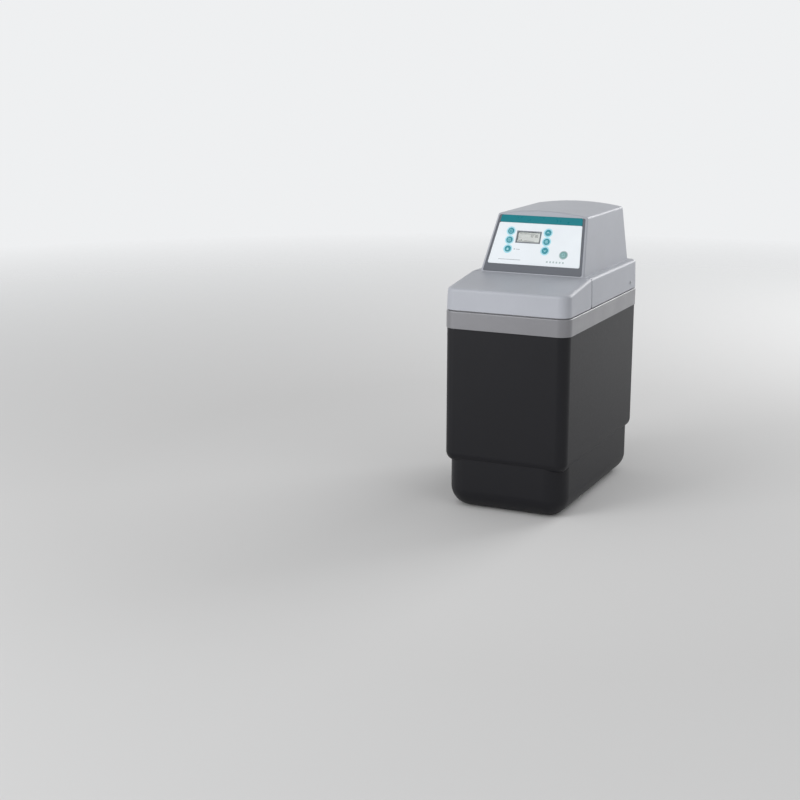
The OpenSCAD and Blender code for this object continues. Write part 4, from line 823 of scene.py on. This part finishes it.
def make_threads():
    """Helical ridges that run out at both ends."""
    node = "bypass_body"
    count = int(THREAD_RUN/THREAD_PITCH*THREAD_STEPS)
    for side, name in ((-1, "thread_left"), (1, "thread_right")):
        end, radius = rear_end(node, side)
        mesh = bmesh.new()
        sections = []
        for i in range(count + 1):
            y = end.y - THREAD_FROM_END - THREAD_PITCH*i/THREAD_STEPS
            from_end = min(i, count - i) + 2
            crest = radius + THREAD_H*min(1.0, 2*from_end/THREAD_STEPS)
            profile = [(radius - SINK, y + THREAD_FOOT), (crest, y + THREAD_CREST),
                       (crest, y - THREAD_CREST), (radius - SINK, y - THREAD_FOOT)]
            sections.append(round_section(end, math.tau*i/THREAD_STEPS, profile))
        swept(mesh, sections, False)
        object_of(name, mesh, SLOT_OF[node], ROOT)


# Studio: a pale floor that fades into a pale surround, and soft lights

SURROUND = (0.86, 0.87, 0.88, 1.0)
AMBIENT_FRONT = 0.62
AMBIENT_BACK = 0.22
FLOOR_R = 9.0
FLOOR_DROP = 0.1*MM
FLOOR_COLOUR = (0.8, 0.8, 0.8, 1.0)
FADE_FROM = 0.9
FADE_TO = 4.0
LIGHT_AIM = (0.0, 0.0, 0.3)
LID_AIM = (0.0, -0.2, 0.43)
LIGHTS = {
    "key": {"place": (-1.7, -2.6, 1.1), "aim": LIGHT_AIM, "size": 1.6, "power": 34},
    "fill": {"place": (2.6, -1.4, 1.3), "aim": LIGHT_AIM, "size": 2.0, "power": 6},
    "near": {"place": (-0.1, -0.8, 0.95), "aim": LID_AIM, "size": 0.3, "power": 0.8},
    "back": {"place": (1.2, 2.6, 1.6), "aim": LIGHT_AIM, "size": 1.8, "power": 42},
}


def make_surround():
    """The camera sees a pale surround, whose light comes mostly from the front."""
    world = bpy.data.worlds.new("studio")
    scene.world = world
    world.use_nodes = True
    tree = world.node_tree
    tree.nodes.clear()
    path = tree.nodes.new("ShaderNodeLightPath")
    seen = path.outputs["Is Camera Ray"]
    for name in ("Is Glossy Ray", "Is Transmission Ray"):
        both = tree.nodes.new("ShaderNodeMath")
        both.operation = "MAXIMUM"
        tree.links.new(seen, both.inputs[0])
        tree.links.new(path.outputs[name], both.inputs[1])
        seen = both.outputs[0]
    shown = tree.nodes.new("ShaderNodeBackground")
    shown.inputs["Color"].default_value = SURROUND
    light = tree.nodes.new("ShaderNodeBackground")
    light.inputs["Color"].default_value = (1.0, 1.0, 1.0, 1.0)
    way = tree.nodes.new("ShaderNodeTexCoord")
    parts = tree.nodes.new("ShaderNodeSeparateXYZ")
    fall = tree.nodes.new("ShaderNodeMapRange")
    for socket, value in (("From Min", -1.0), ("To Min", AMBIENT_FRONT), ("To Max", AMBIENT_BACK)):
        fall.inputs[socket].default_value = value
    tree.links.new(way.outputs["Generated"], parts.inputs["Vector"])
    tree.links.new(parts.outputs["Y"], fall.inputs["Value"])
    tree.links.new(fall.outputs["Result"], light.inputs["Strength"])
    mix = tree.nodes.new("ShaderNodeMixShader")
    out = tree.nodes.new("ShaderNodeOutputWorld")
    tree.links.new(seen, mix.inputs["Fac"])
    tree.links.new(light.outputs[0], mix.inputs[1])
    tree.links.new(shown.outputs[0], mix.inputs[2])
    tree.links.new(mix.outputs[0], out.inputs["Surface"])


def make_floor():
    mesh = bmesh.new()
    bmesh.ops.create_circle(mesh, cap_ends=True, segments=96, radius=FLOOR_R)
    data = bpy.data.meshes.new("floor")
    mesh.to_mesh(data)
    mesh.free()
    floor = bpy.data.objects.new("floor", data)
    floor.location.z = cad_box[0].z - FLOOR_DROP
    scene.collection.objects.link(floor)
    finish = Finish("floor", base_color=FLOOR_COLOUR, roughness=0.8, specular_ior_level=0.1)
    reach = finish.add("ShaderNodeVectorMath", {0: finish.coords}, operation="LENGTH").outputs["Value"]
    finish.feed("Alpha", finish.spread(reach, 1.0, 0.0, FADE_FROM, FADE_TO))
    data.materials.append(finish.material)


def area_light(name, place, aim, size, power):
    data = bpy.data.lights.new(name, "AREA")
    data.size = size
    data.energy = power
    light = bpy.data.objects.new(name, data)
    light.location = place
    light.rotation_mode = "QUATERNION"
    light.rotation_quaternion = (Vector(aim) - Vector(place)).to_track_quat("-Z", "Y")
    scene.collection.objects.link(light)


def make_lights():
    for name, light in LIGHTS.items():
        area_light(name, **light)


make_camera()
dress_solids()
make_icons()
make_panel_print()
make_display()
make_barbs("overflow_spigot")
make_barbs("drain_spigot")
make_threads()
make_surround()
make_floor()
make_lights()
